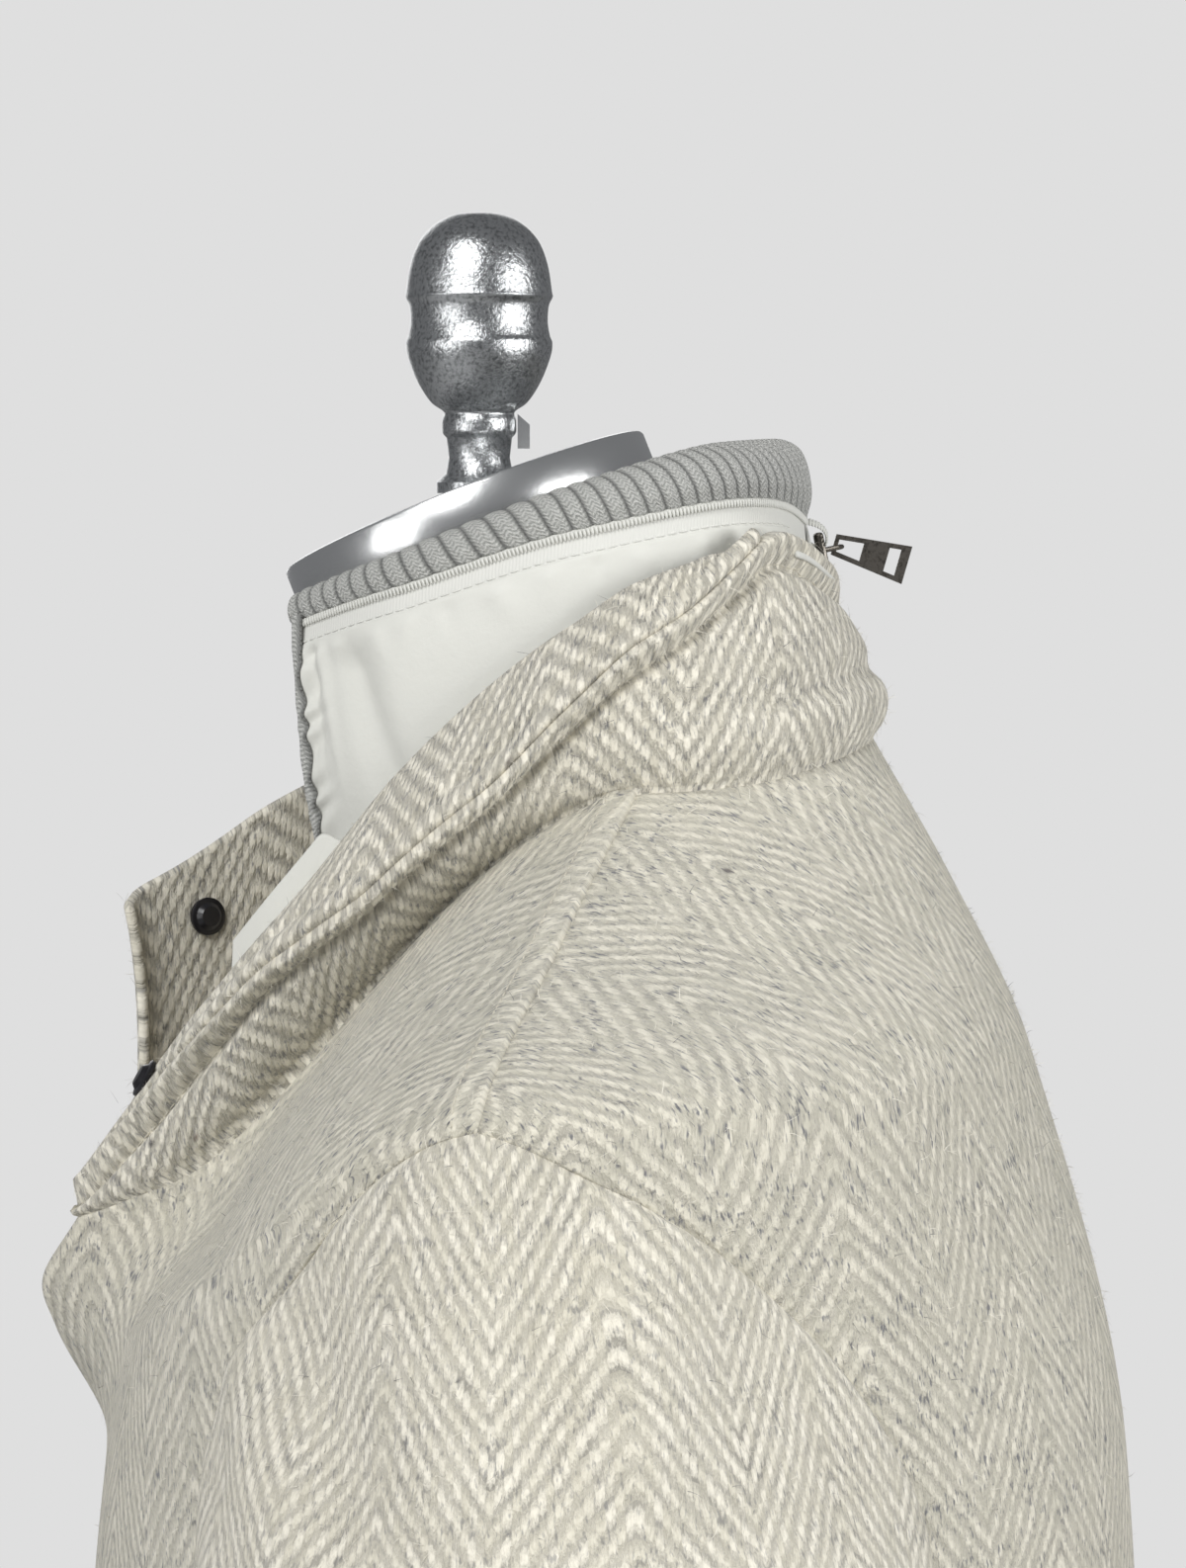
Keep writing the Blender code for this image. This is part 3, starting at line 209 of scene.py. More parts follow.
SKIRT_FOLDS = tuple(map(Fold._make, (
    (-48, 15, 0.007), (-22, 12, 0.006), (22, 13, 0.007), (50, 16, 0.009), (82, 15, 0.006), (116, 17, 0.009),
    (150, 14, 0.007), (-155, 13, 0.006), (-128, 15, 0.007),
)))
FOLD_TOP, LAPEL_REACH = 1.02, 0.060
FRONT_DROOP, BACK_DROOP = 1.6, 2.2
UNDERLAP_FROM, UNDERLAP_FULL, UNDERLAP_STEP = 0.074, 0.036, CLOTH + 0.0012
ARM_MID_Y, ARM_SKEW, ARM_FRONT, ARM_BACK, ARM_BACK_DROOP = -0.013, -0.018, 0.085, 0.093, 1.60
SleeveRing = namedtuple("SleeveRing", "z x y half_side half_depth")
SLEEVE_RINGS = tuple(map(SleeveRing._make, (
    (0.745, 0.2810, -0.054, 0.0330, 0.066), (0.860, 0.2710, -0.034, 0.0360, 0.074),
    (0.985, 0.2600, -0.018, 0.0390, 0.084), (1.150, 0.2520, -0.014, 0.0410, 0.092),
)))
print("rings:", len(COAT_RINGS), "body,", len(SLEEVE_RINGS), "sleeve")


# %% Smooth curves and small steps
def smooth(rows, key, name, at):
    """Column `name` at `at`: a cubic between rows, whose slope at a row is the harmonic mean of two."""
    xs, ys = (np.array([getattr(r, n) for r in rows], float) for n in (key, name))
    step = np.diff(xs)
    slope = np.diff(ys) / step
    same = slope[:-1] * slope[1:] > 0
    middle = np.where(same, 2 * slope[:-1] * slope[1:] / np.where(same, slope[:-1] + slope[1:], 1), 0)
    tangent = np.concatenate([slope[:1], middle, slope[-1:]])
    at = np.asarray(at, float)
    i = np.clip(np.searchsorted(xs, at, side="right") - 1, 0, len(xs) - 2)
    t = (at - xs[i]) / step[i]
    inside = ((1 + 2 * t) * (1 - t) ** 2 * ys[i] + t * (1 - t) ** 2 * step[i] * tangent[i]
              + t * t * (3 - 2 * t) * ys[i + 1] + t * t * (t - 1) * step[i] * tangent[i + 1])
    below, above = at < xs[0], at > xs[-1]
    outside = np.where(below, ys[0] + tangent[0] * (at - xs[0]), ys[-1] + tangent[-1] * (at - xs[-1]))
    return np.where(below | above, outside, inside)


def ease(t):
    """A step from 0 to 1: three t squared less two t cubed."""
    t = np.clip(t, 0.0, 1.0)
    return t * t * (3 - 2 * t)


def unit(v):
    """Each vector over its own length."""
    return v / np.maximum(np.linalg.norm(v, axis=-1, keepdims=True), 1e-12)


def power(value, exponent):
    """The size of a number to a power, with the number's own sign."""
    return np.sign(value) * np.abs(value) ** exponent


def runs(points, axis):
    """Distance walked along the grid's lines on one axis, from 0 at the first point."""
    steps = np.linalg.norm(np.diff(points, axis=axis), axis=-1)
    pad = [(0, 0)] * steps.ndim
    pad[axis] = (1, 0)
    return np.pad(np.cumsum(steps, axis=axis), pad)


def rises(points):
    """Distance walked up each column, less the part of each step that goes along the row."""
    steps = np.diff(points, axis=0)
    way = unit(np.gradient(points, axis=1))[:-1]
    across = steps - way * (steps * way).sum(-1, keepdims=True)
    return np.pad(np.cumsum(np.linalg.norm(across, axis=-1), axis=0), ((1, 0), (0, 0)))


def normals_of(grid):
    """Outward normals: the way along a row crossed with the way along a column."""
    return unit(np.cross(np.gradient(grid, axis=1), np.gradient(grid, axis=0)))


print("curves: smooth, ease, runs, normals_of")

# %% [markdown]
# ## From a surface to a piece of cloth
#
# A Solidify modifier could thicken each surface, but the edges would be square. The wall here is two grids,
# the outer face and the same points moved in, and both share a rim pushed out by a little under half the
# thickness. That gives every cut edge the soft round turn of a thick wool.

# %% A thin wall with rounded rims
RIM = 0.42                # how far a rim stands out, as a share of the thickness
NAPPED = []               # outer faces that get a nap: grid and outward sign
STITCHED = []             # lines of sewing: name, points, the way out of the cloth, and slot


def quads(ids):
    """Four-cornered faces between neighbours of a grid of point numbers."""
    return np.stack([ids[:-1, :-1], ids[:-1, 1:], ids[1:, 1:], ids[1:, :-1]], -1).reshape(-1, 4)


def ring_quads(ids):
    """Faces between rings of point numbers, each ring closed round. The last two axes are ring and turn."""
    nxt = np.roll(ids, -1, -1)
    return np.stack([ids[..., :-1, :], nxt[..., :-1, :], nxt[..., 1:, :], ids[..., 1:, :]], -1).reshape(-1, 4)


def cloth_wall(name, outer, inner, finish, uv, slot, node, flip=False):
    """Two grids of points that share a rounded rim, with a UV map in metres."""
    push = np.linalg.norm(outer - inner, axis=-1).mean() * RIM

    def framed(grid):
        """A grid with a border line on each side, one push beyond its last step's direction."""
        top = grid[-1] + unit(grid[-1] - grid[-2]) * push
        low = grid[0] + unit(grid[0] - grid[1]) * push
        tall = np.concatenate([low[None], grid, top[None]])
        first = tall[:, 0] + unit(tall[:, 0] - tall[:, 1]) * push
        last = tall[:, -1] + unit(tall[:, -1] - tall[:, -2]) * push
        return np.concatenate([first[:, None], tall, last[:, None]], 1)

    border = (framed(outer) + framed(inner)) / 2
    rows, columns = border.shape[:2]
    edge = np.ones((rows, columns), bool)
    edge[1:-1, 1:-1] = False
    full_outer, full_inner = border.copy(), border.copy()
    full_outer[1:-1, 1:-1], full_inner[1:-1, 1:-1] = outer, inner
    outer_id = np.arange(rows * columns).reshape(rows, columns)
    inner_id = np.where(edge, outer_id, 0)
    inner_id[~edge] = rows * columns + np.arange((~edge).sum())
    points = np.concatenate([full_outer.reshape(-1, 3), full_inner[~edge]])
    uv_full = np.pad(uv, ((1, 1), (1, 1), (0, 0)), mode="edge")
    uvs = np.concatenate([uv_full.reshape(-1, 2), uv_full[~edge]])
    faces = np.concatenate([quads(outer_id), quads(inner_id)[:, ::-1]])
    if flip:
        faces = faces[:, ::-1]
    piece = put_mesh(name, points, faces, finish, uvs)
    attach(piece, "coat")
    if node:
        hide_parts(node)
    if slot == "wool":
        NAPPED.append((outer, -1 if flip else 1))
    return piece


def put_mesh(name, points, faces, finish, uvs):
    """Points and four-cornered faces into a mesh, shaded smooth, with a UV for each corner's point."""
    mesh = bpy.data.meshes.new(name)
    mesh.vertices.add(len(points))
    mesh.vertices.foreach_set("co", np.ascontiguousarray(points, np.float32).ravel())
    mesh.loops.add(faces.size)
    mesh.loops.foreach_set("vertex_index", np.ascontiguousarray(faces, np.int32).ravel())
    mesh.polygons.add(len(faces))
    mesh.polygons.foreach_set("loop_start", np.arange(0, faces.size, faces.shape[1], dtype=np.int32))
    mesh.polygons.foreach_set("use_smooth", np.ones(len(faces), bool))
    layer = mesh.uv_layers.new(name="cloth")
    layer.data.foreach_set("uv", np.ascontiguousarray(uvs[faces.ravel()], np.float32).ravel())
    mesh.update(calc_edges=True)
    mesh.validate()
    piece = bpy.data.objects.new(name, mesh)
    bpy.context.scene.collection.objects.link(piece)
    mesh.materials.append(finish)
    return piece


def cut_size(grid):
    """The cut of a sheet: its widest row, its longest column, and the area of its face."""
    width, length = runs(grid, 1)[:, -1].max(), runs(grid, 0)[-1].max()
    sides = np.cross(grid[1:, 1:] - grid[:-1, :-1], grid[1:, :-1] - grid[:-1, 1:])
    area = np.linalg.norm(sides, axis=-1).sum() / 2
    return float(width), float(length), float(area)


def declare(piece, grid):
    """Prints the piece's name with its cut: width, length and area."""
    width, length, area = cut_size(grid)
    length = max(length, area / width, 0.010)
    print(f"{piece.name}: cut {width * 100:.0f} x {length * 100:.0f} cm, {area * 1e4:.0f} cm2")


def flat_pattern(grid, normals, grain, rounds=500):
    """The piece laid flat: a u and a v whose steps between neighbours best match the distances across and
    along the grain. This is least squares over all steps, solved by conjugate gradients."""
    grain = unit(grain - normals * (grain * normals).sum(-1, keepdims=True))
    ways = np.stack([np.cross(grain, normals), grain], -2)
    steps = [np.diff(grid, axis=axis)[..., None, :] for axis in (0, 1)]
    pairs = (ways[1:], ways[:-1]), (ways[:, 1:], ways[:, :-1])
    wanted = [(0.5 * (a + b) * d).sum(-1) for (a, b), d in zip(pairs, steps)]
    weight = [1 / (np.linalg.norm(d, axis=-1) + 0.0005) for d in steps]

    def gather(down, right):
        """Adds to each point what its steps pull, with opposite signs at the two ends."""
        total = np.zeros(grid.shape[:2] + (2,))
        total[1:] += weight[0] * down
        total[:-1] -= weight[0] * down
        total[:, 1:] += weight[1] * right
        total[:, :-1] -= weight[1] * right
        return total

    share = np.pad(weight[0], ((1, 0), (0, 0), (0, 0))) + np.pad(weight[0], ((0, 1), (0, 0), (0, 0)))
    share = share + np.pad(weight[1], ((0, 0), (1, 0), (0, 0))) + np.pad(weight[1], ((0, 0), (0, 1), (0, 0)))
    flat = np.stack([runs(grid, 1), rises(grid)], -1)
    rest = gather(*wanted) - gather(np.diff(flat, axis=0), np.diff(flat, axis=1))
    way = rest / share
    size = (rest * way).sum((0, 1))
    for _ in range(rounds):
        pull = gather(np.diff(way, axis=0), np.diff(way, axis=1))
        pace = size / np.maximum((way * pull).sum((0, 1)), 1e-30)
        flat, rest = flat + pace * way, rest - pace * pull
        eased = rest / share
        size, last = (rest * eased).sum((0, 1)), size
        way = eased + way * size / np.maximum(last, 1e-30)
    return flat


print("walls: cloth_wall, put_mesh, cut_size, declare, flat_pattern")

# %% [markdown]
# ## The body of the coat
#
# Each ring is a rounded box round the body. Its exponent squares the corners, and its height drops at the
# front and rises at the back, as a neckline does. The left lapel rolls out near its edge, and the right
# front steps in under the left one. Three panels are cut from this one surface, at the side, armhole and
# shoulder seams, so they always meet.

# %% One surface for the whole body
def coat_point(turn, level, side=0):
    """Superellipse ring: cosine and sine of the turn to the power 2 / square, plus folds and lapel roll."""
    column = {n: smooth(COAT_RINGS, "level", n, level) for n in Ring._fields[1:]}
    c, s = np.cos(turn), np.sin(turn)
    bend = 2 / column["square"]
    x = column["half_width"] * power(c, bend)
    depth = np.where(s < 0, column["side_y"] - column["front_y"], column["back_y"] - column["side_y"])
    y = column["side_y"] + depth * power(s, bend)
    middle_z = np.where(s < 0, column["front_z"], column["back_z"])
    z = level + (middle_z - level) * np.abs(s) ** np.where(s < 0, FRONT_DROOP, BACK_DROOP)
    point = np.stack(np.broadcast_arrays(x, y, z), -1)
    outward = unit(np.stack(np.broadcast_arrays(c, s, 0 * c), -1))
    stand = np.zeros(point.shape[:-1])
    for fold in SKIRT_FOLDS:
        away = np.degrees(np.abs((turn - math.radians(fold.angle_deg) + math.pi) % (2 * math.pi) - math.pi))
        stand = stand + fold.depth * (1 - ease(away / fold.half_width_deg))
    stand = stand * ease((FOLD_TOP - level) / (FOLD_TOP - HEM_LEVEL))
    if side:
        in_from_edge = side * point[..., 0] - column["edge_x"]
        roll = column["roll"] * np.clip(1 - in_from_edge / LAPEL_REACH, 0, 1.3) ** 2 * ease(-s / 0.6)
        stand = stand + (roll if side > 0 else roll * ease(-point[..., 0] / 0.03))
    if side < 0:
        under = ease((point[..., 0] + UNDERLAP_FROM) / (UNDERLAP_FROM - UNDERLAP_FULL))
        stand = stand - UNDERLAP_STEP * under * ease((SHOULDER_LEVEL - level) / 0.10)
    return point + outward * stand[..., None]


def coat_normal(turn, level, side=0):
    """The body's outward normal: a small step round crossed with a small step up."""
    step = 1e-4
    round_way = coat_point(turn + step, level, side) - coat_point(turn - step, level, side)
    up_way = coat_point(turn, level + step, side) - coat_point(turn, level - step, side)
    return unit(np.cross(round_way, up_way))


def turn_at_y(level, y):
    """The turn on the left half where the ring passes y, found by undoing the superellipse."""
    side_y, square, front, back = (smooth(COAT_RINGS, "level", n, level)
                                   for n in ("side_y", "square", "front_y", "back_y"))
    end = np.where(y < side_y, front, back)
    share = np.clip((y - side_y) / (end - side_y), 0, 1)
    return np.where(y < side_y, -1, 1) * np.arcsin(share ** (square / 2))


def turn_at_x(level, x):
    """The turn on the front half where the ring passes x."""
    half, square = (smooth(COAT_RINGS, "level", n, level) for n in ("half_width", "square"))
    return -np.arccos(power(np.clip(x / half, -1, 1), square / 2))


def armhole(around):
    """Level and y of the left armhole, at an angle round from the shoulder point, positive to the front."""
    level = (SHOULDER_LEVEL + CHEST_LEVEL) / 2 + (SHOULDER_LEVEL - CHEST_LEVEL) / 2 * np.cos(around)
    s = np.sin(around)
    reach = np.where(s > 0, -ARM_FRONT * s, ARM_BACK * np.abs(s) ** ARM_BACK_DROOP)
    return level, ARM_MID_Y + ARM_SKEW * np.cos(around) + reach


print("surface: coat_point; the armhole drops to", round(float(armhole(math.pi)[0]), 3), "m")

# %% Rows and columns of a panel
SKIRT_LEVELS = np.linspace(HEM_LEVEL, CHEST_LEVEL, 46, endpoint=False)
ARM_TURNS = np.linspace(math.pi, 0, 70)
SHOULDER_LEVELS = np.linspace(SHOULDER_LEVEL, NECK_LEVEL, 40)[1:]
PANEL_LEVELS = np.concatenate([SKIRT_LEVELS, armhole(ARM_TURNS)[0], SHOULDER_LEVELS])
NEAR_EDGE = np.array([0.0, 0.0012, 0.0026, 0.0042, 0.0062, 0.0085])


def seam_turns(to_front):
    """The turn at which a panel ends at each level: the side seam, the armhole, then the shoulder seam."""
    around = ARM_TURNS if to_front else -ARM_TURNS
    level, y = armhole(around)
    arm = turn_at_y(level, y)
    return np.concatenate([0 * SKIRT_LEVELS, arm, 0 * SHOULDER_LEVELS])


def spread(start, end, count, side):
    """Turns even along each ring and close near both ends, and their distances from the two ends."""
    fine = start[:, None] + (end - start)[:, None] * np.linspace(0, 1, 500)
    walked = runs(coat_point(fine, PANEL_LEVELS[:, None], side), 1)
    length = walked[:, -1:] - SEAM
    even = NEAR_EDGE[-1] + 0.003 + np.linspace(0, 1, count) * (length - 2 * NEAR_EDGE[-1] - 0.006)
    places = np.concatenate([np.broadcast_to(NEAR_EDGE, (len(start), 6)), even, length - NEAR_EDGE[::-1]], 1)
    turns = np.array([np.interp(p + SEAM / 2, w, f) for p, w, f in zip(places, walked, fine)])
    return turns, places, length - places


print("panel rows:", len(PANEL_LEVELS))

# %% [markdown]
# ## Creases
#
# Cloth this thick makes few creases, and they are broad and soft. Each one here is a trough or a ridge
# given as a place on the surface, a direction, a length, a width and a depth. Its section is a bell curve
# and it fades out at both ends.

# %% Creases listed one by one
Crease = namedtuple("Crease", "y z slant_deg length width depth")
LEFT_FRONT_CREASES = tuple(map(Crease._make, (
    (-0.112, 1.345, 30, 0.060, 0.011, 0.0040), (-0.088, 1.385, 50, 0.070, 0.009, 0.0022),
    (-0.120, 1.250, 80, 0.090, 0.014, 0.0030), (-0.085, 1.300, 62, 0.060, 0.008, 0.0014),
)))
BACK_CREASES = tuple(map(Crease._make, (
    (0.050, 1.405, 118, 0.060, 0.012, 0.0016), (0.095, 1.300, 100, 0.100, 0.018, 0.0028),
    (0.120, 1.180, 96, 0.120, 0.016, 0.0026), (0.060, 1.452, 165, 0.035, 0.008, 0.0012),
)))


def crease_depth(across, up, crease):
    """A bell curve across the crease's line, which fades out towards both ends."""
    a = math.radians(crease.slant_deg)
    run, off = across * math.cos(a) + up * math.sin(a), -across * math.sin(a) + up * math.cos(a)
    return crease.depth * np.exp(-(off / crease.width) ** 2) * (1 - ease(np.abs(run) / crease.length))


def creased(points, normals, creases, side):
    """Moves points in along their normals by the depth of each crease, on one side of the body."""
    near = ease((side * points[..., 0] - 0.02) / 0.03)
    depth = sum(crease_depth(points[..., 1] - c.y, points[..., 2] - c.z, c) for c in creases)
    return points - normals * (depth * near)[..., None]


print("creases:", len(LEFT_FRONT_CREASES), "on a front,", len(BACK_CREASES), "on each side of the back")

# %% The three panels
SEAM_DIP, SEAM_DIP_REACH = 0.0006, 0.0062
LAP, LAP_WIDTH = 0.0017, 0.0075          # the front's shoulder edge lies over the back's
PANEL_NODES = {"back": "back_panel", "left_front": "front_left", "right_front": "front_right"}


def seam_dip(distance):
    """How far the face sinks beside a seam: a parabola that ends a few millimetres away."""
    return SEAM_DIP * np.clip(1 - distance / SEAM_DIP_REACH, 0, 1) ** 2


def make_panel(name, start, end, count, side, creases):
    """The body's surface between two seams, sunk beside them, with a lapped shoulder edge on the fronts."""
    turns, from_start, from_end = spread(start, end, count, side)
    plain = coat_point(turns, PANEL_LEVELS[:, None], side)
    normals = coat_normal(turns, PANEL_LEVELS[:, None] + 0 * turns, side)
    shoulder = ease((PANEL_LEVELS - SHOULDER_LEVEL) / 0.006)[:, None]
    if name == "back":
        sink = seam_dip(from_start) + seam_dip(from_end)
        soft = creased(creased(plain, normals, creases, 1), normals, creases, -1)
    else:
        to_seam = from_end if side > 0 else from_start
        lap = LAP * (1 - ease((to_seam - LAP_WIDTH) / 0.0022)) * shoulder
        sink = seam_dip(to_seam) - lap
        soft = creased(plain, normals, creases, side)
    outer = soft - normals * sink[..., None]
    inner = soft - normals * CLOTH
    over_shoulder = np.cross([1.0, 0, 0], normals) * (1 if name == "back" else -1)
    uv = flat_pattern(plain, normals, UP - normals * normals[..., 2:] + over_shoulder)
    uv -= uv[60, plain.shape[1] // 2 if name == "back" else -1]
    piece = cloth_wall(name, outer, inner, WOOL_BODY, uv, "wool", PANEL_NODES[name])
    declare(piece, plain)
    if name != "back":
        column, rows = -5 if side > 0 else 4, slice(-len(SHOULDER_LEVELS), None)
        STITCHED.append((f"{name}_shoulder_stitches", outer[rows, column], normals[rows, column], "wool"))
    return piece


EDGE_TURNS = turn_at_x(PANEL_LEVELS, smooth(COAT_RINGS, "level", "edge_x", PANEL_LEVELS))
FRONT_SEAM, BACK_SEAM = seam_turns(True), seam_turns(False)
make_panel("back", BACK_SEAM, math.pi - BACK_SEAM, 110, 0, BACK_CREASES)
make_panel("left_front", EDGE_TURNS, FRONT_SEAM, 70, 1, LEFT_FRONT_CREASES)
make_panel("right_front", -math.pi - FRONT_SEAM, -math.pi - EDGE_TURNS, 70, -1, LEFT_FRONT_CREASES)

# %% [markdown]
# ## The sleeves
#
# A tailored sleeve is two pieces, a broad top sleeve and a narrow under sleeve. Each line of this sleeve
# leaves the armhole along a cubic curve, so the cap stands out and falls over like set-in cloth, and then
# follows the arm's rings to the cuff. The seam allowance inside makes the cap swell a little beside the seam.

# %% Lines of the sleeve
CAP_TIMES = np.concatenate([np.linspace(0, 0.10, 8), np.linspace(0.10, 1, 44)[1:-1]])
ARM_HEIGHTS = np.linspace(1.150, 0.745, 60)
SLEEVE_SEAM = math.radians(108)
CAP_TUCK, CAP_SINK = 0.0008, 0.0007      # the cap's edge goes under the body's
CAP_FULLNESS = 0.85       # pull of the cubic's end slopes
CAP_SWELL = 0.0022        # the cap's rise beside the armhole
STRIPE_SHIFT = 0.0478     # brings a stripe's low point to the middle of the cap


def sleeve_lines(around):
    """A cubic with end slopes from the armhole to the upper arm, then an ellipse at each height."""
    level, y = armhole((around + math.pi) % (2 * math.pi) - math.pi)
    turn = turn_at_y(level, y)
    edge, normal = coat_point(turn, level), coat_normal(turn, level)
    into = np.array([smooth(COAT_RINGS, "level", "half_width", 1.275), ARM_MID_Y, 1.275]) - edge
    into = unit(into - normal * (into * normal).sum(-1, keepdims=True))
    start = edge - into * CAP_TUCK - normal * CAP_SINK
    x, y, half_side, half_depth = (smooth(SLEEVE_RINGS, "z", n, ARM_HEIGHTS)[:, None]
                                   for n in ("x", "y", "half_side", "half_depth"))
    arm = np.stack(np.broadcast_arrays(x + half_side * np.cos(around), y - half_depth * np.sin(around),
                                       ARM_HEIGHTS[:, None]), -1)
    reach = np.linalg.norm(arm[0] - start, axis=-1, keepdims=True)
    leave = unit(normal + into - UP) * reach * CAP_FULLNESS
    arrive = unit(arm[1] - arm[0]) * reach * CAP_FULLNESS
    t = CAP_TIMES[:, None, None]
    cap = ((1 + 2 * t) * (1 - t) ** 2 * start + t * (1 - t) ** 2 * leave
           + t * t * (3 - 2 * t) * arm[0] + t * t * (t - 1) * arrive)
    return np.concatenate([cap, arm]), normal


SleeveCrease = namedtuple("SleeveCrease", "around_deg z slant_deg length width depth")
SLEEVE_CREASES = tuple(map(SleeveCrease._make, (
    (-17, 1.330, 80, 0.062, 0.009, 0.0075), (-31, 1.325, 72, 0.060, 0.012, -0.0055),
    (26, 1.315, 98, 0.060, 0.010, 0.0060), (42, 1.305, 104, 0.055, 0.011, -0.0042),
    (38, 1.200, 84, 0.075, 0.013, 0.0030), (-34, 1.215, 97, 0.080, 0.015, 0.0026),
    (70, 1.215, 70, 0.055, 0.010, 0.0034), (-74, 1.225, 112, 0.060, 0.012, 0.0034),
    (20, 1.000, 35, 0.050, 0.012, 0.0040), (-12, 0.975, 150, 0.060, 0.011, 0.0046),
    (52, 0.955, 160, 0.045, 0.012, 0.0036), (-50, 0.940, 28, 0.045, 0.010, 0.0034),
    (6, 0.870, 20, 0.040, 0.010, 0.0026), (160, 1.010, 25, 0.060, 0.012, 0.0040),
    (-150, 0.960, 155, 0.050, 0.011, 0.0036), (180, 0.880, 15, 0.050, 0.011, 0.0030),
)))


def make_sleeve(name, node, first, last, count, side):
    """A grid between two seams, with a dip at each seam, a swell beside the armhole and the creases."""
    room = SEAM / 0.08
    ends = np.array([0.0, 0.013, 0.03, 0.05, 0.075])
    arounds = np.concatenate([first + room + ends, np.linspace(first + 0.11, last - 0.11, count),
                              last - room - ends[::-1]])
    plain, coat_normal = sleeve_lines(arounds)
    normals = normals_of(plain)
    from_top = np.degrees(np.abs((arounds + math.pi) % (2 * math.pi) - math.pi))
    share = ease((160 - from_top) / 40)[:, None]
    normals[0] = unit(coat_normal * share + normals[0] * (1 - share))
    across, down = runs(plain, 1), runs(plain, 0)
    to_seam = np.minimum(across, across[:, -1:] - across)
    swell = CAP_SWELL * ease(down / 0.004) * (1 - ease((down - 0.006) / 0.020)) * share[:, 0]
    lift = swell - seam_dip(to_seam) - seam_dip(down) * share[:, 0]
    halves = [smooth(SLEEVE_RINGS, "z", n, plain[..., 2]) for n in ("half_side", "half_depth")]
    girth = 0.5 * (halves[0] + halves[1])
    for crease in SLEEVE_CREASES:
        off_turn = (arounds - math.radians(crease.around_deg) + math.pi) % (2 * math.pi) - math.pi
        lift = lift - crease_depth(-off_turn[None] * girth, plain[..., 2] - crease.z, crease)
    outer = plain + normals * lift[..., None]
    inner = plain + normals * (np.minimum(lift, 0) - CLOTH)[..., None]
    top = np.argmin(np.abs(arounds - (0 if first < 0 else math.pi)))
    uv = flat_pattern(plain, normals, UP + 0 * plain) * (-1, 1)
    uv -= uv[40, top] + (STRIPE_SHIFT, 0)
    mirror = np.array([side, 1, 1])
    piece = cloth_wall(name, outer * mirror, inner * mirror, WOOL_SLEEVE, uv, "wool", node, flip=side < 0)
    declare(piece, plain)


for hand, way in (("left", 1), ("right", -1)):
    for part, first, last, count in (("top", -SLEEVE_SEAM, SLEEVE_SEAM, 84),
                                     ("under", SLEEVE_SEAM, 2 * math.pi - SLEEVE_SEAM, 44)):
        make_sleeve(f"{hand}_{part}_sleeve", f"{part}_sleeve_{hand}", first, last, count, way)

# %% [markdown]
# ## The wool collar
#
# The collar stands on the neckline, bellies out and turns in to a rolled edge. Its section is a parabola
# through three points that move as it goes round, from the left front end over the back to the right
# end. On the open left side a second piece, the top collar, rolls over the edge and slopes in to the pouch.

# %% Collar tables
CollarRow = namedtuple("CollarRow", "along belly_out belly_up bead_out bead_up facing_out facing_up")
COLLAR_ROWS = tuple(map(CollarRow._make, (
    (0.00, 0.001, 0.003, -0.005, 0.009, -0.010, 0.017), (0.04, 0.003, 0.008, 0.001, 0.022, -0.006, 0.033),
    (0.08, 0.007, 0.009, 0.011, 0.0275, 0.001, 0.040), (0.12, 0.011, 0.009, 0.019, 0.028, 0.006, 0.043),
    (0.16, 0.011, 0.008, 0.021, 0.0235, 0.006, 0.0455), (0.20, 0.011, 0.006, 0.020, 0.019, 0.004, 0.0485),
    (0.25, 0.010, 0.007, 0.016, 0.019, 0.002, 0.049), (0.29, 0.008, 0.011, 0.012, 0.0274, 0.0, 0.0505),
    (0.33, 0.006, 0.016, 0.006, 0.044, -0.002, 0.059), (0.36, 0.004, 0.020, -0.002, 0.0565, -0.006, 0.064),
    (0.39, 0.003, 0.023, -0.007, 0.064, -0.009, 0.068),
    (0.41, 0.002, 0.022, -0.009, 0.0605, -0.011, 0.0635),
    (0.45, 0.001, 0.020, -0.011, 0.050, -0.011, 0.053), (0.50, 0.003, 0.016, -0.013, 0.041, -0.013, 0.044),
    (0.60, 0.003, 0.017, -0.011, 0.045, -0.011, 0.045), (0.72, 0.004, 0.019, -0.003, 0.051, -0.003, 0.051),
    (0.84, 0.006, 0.023, 0.004, 0.063, 0.004, 0.063), (0.92, 0.003, 0.036, 0.004, 0.078, 0.004, 0.078),
    (1.00, -0.003, 0.044, 0.001, 0.081, 0.001, 0.081),
)))
FACING_TO = 0.378                        # where the top collar ends, along the neckline
COLLAR_GAP = 2.4                         # seam gaps between the neckline and the collar
FACING_TUCK = 0.0008                     # the top collar starts this far below the bead
KNEE_ON, KNEE_OUT, KNEE_UP, KNEE_FULL = 0.008, 0.001, 0.004, 0.013


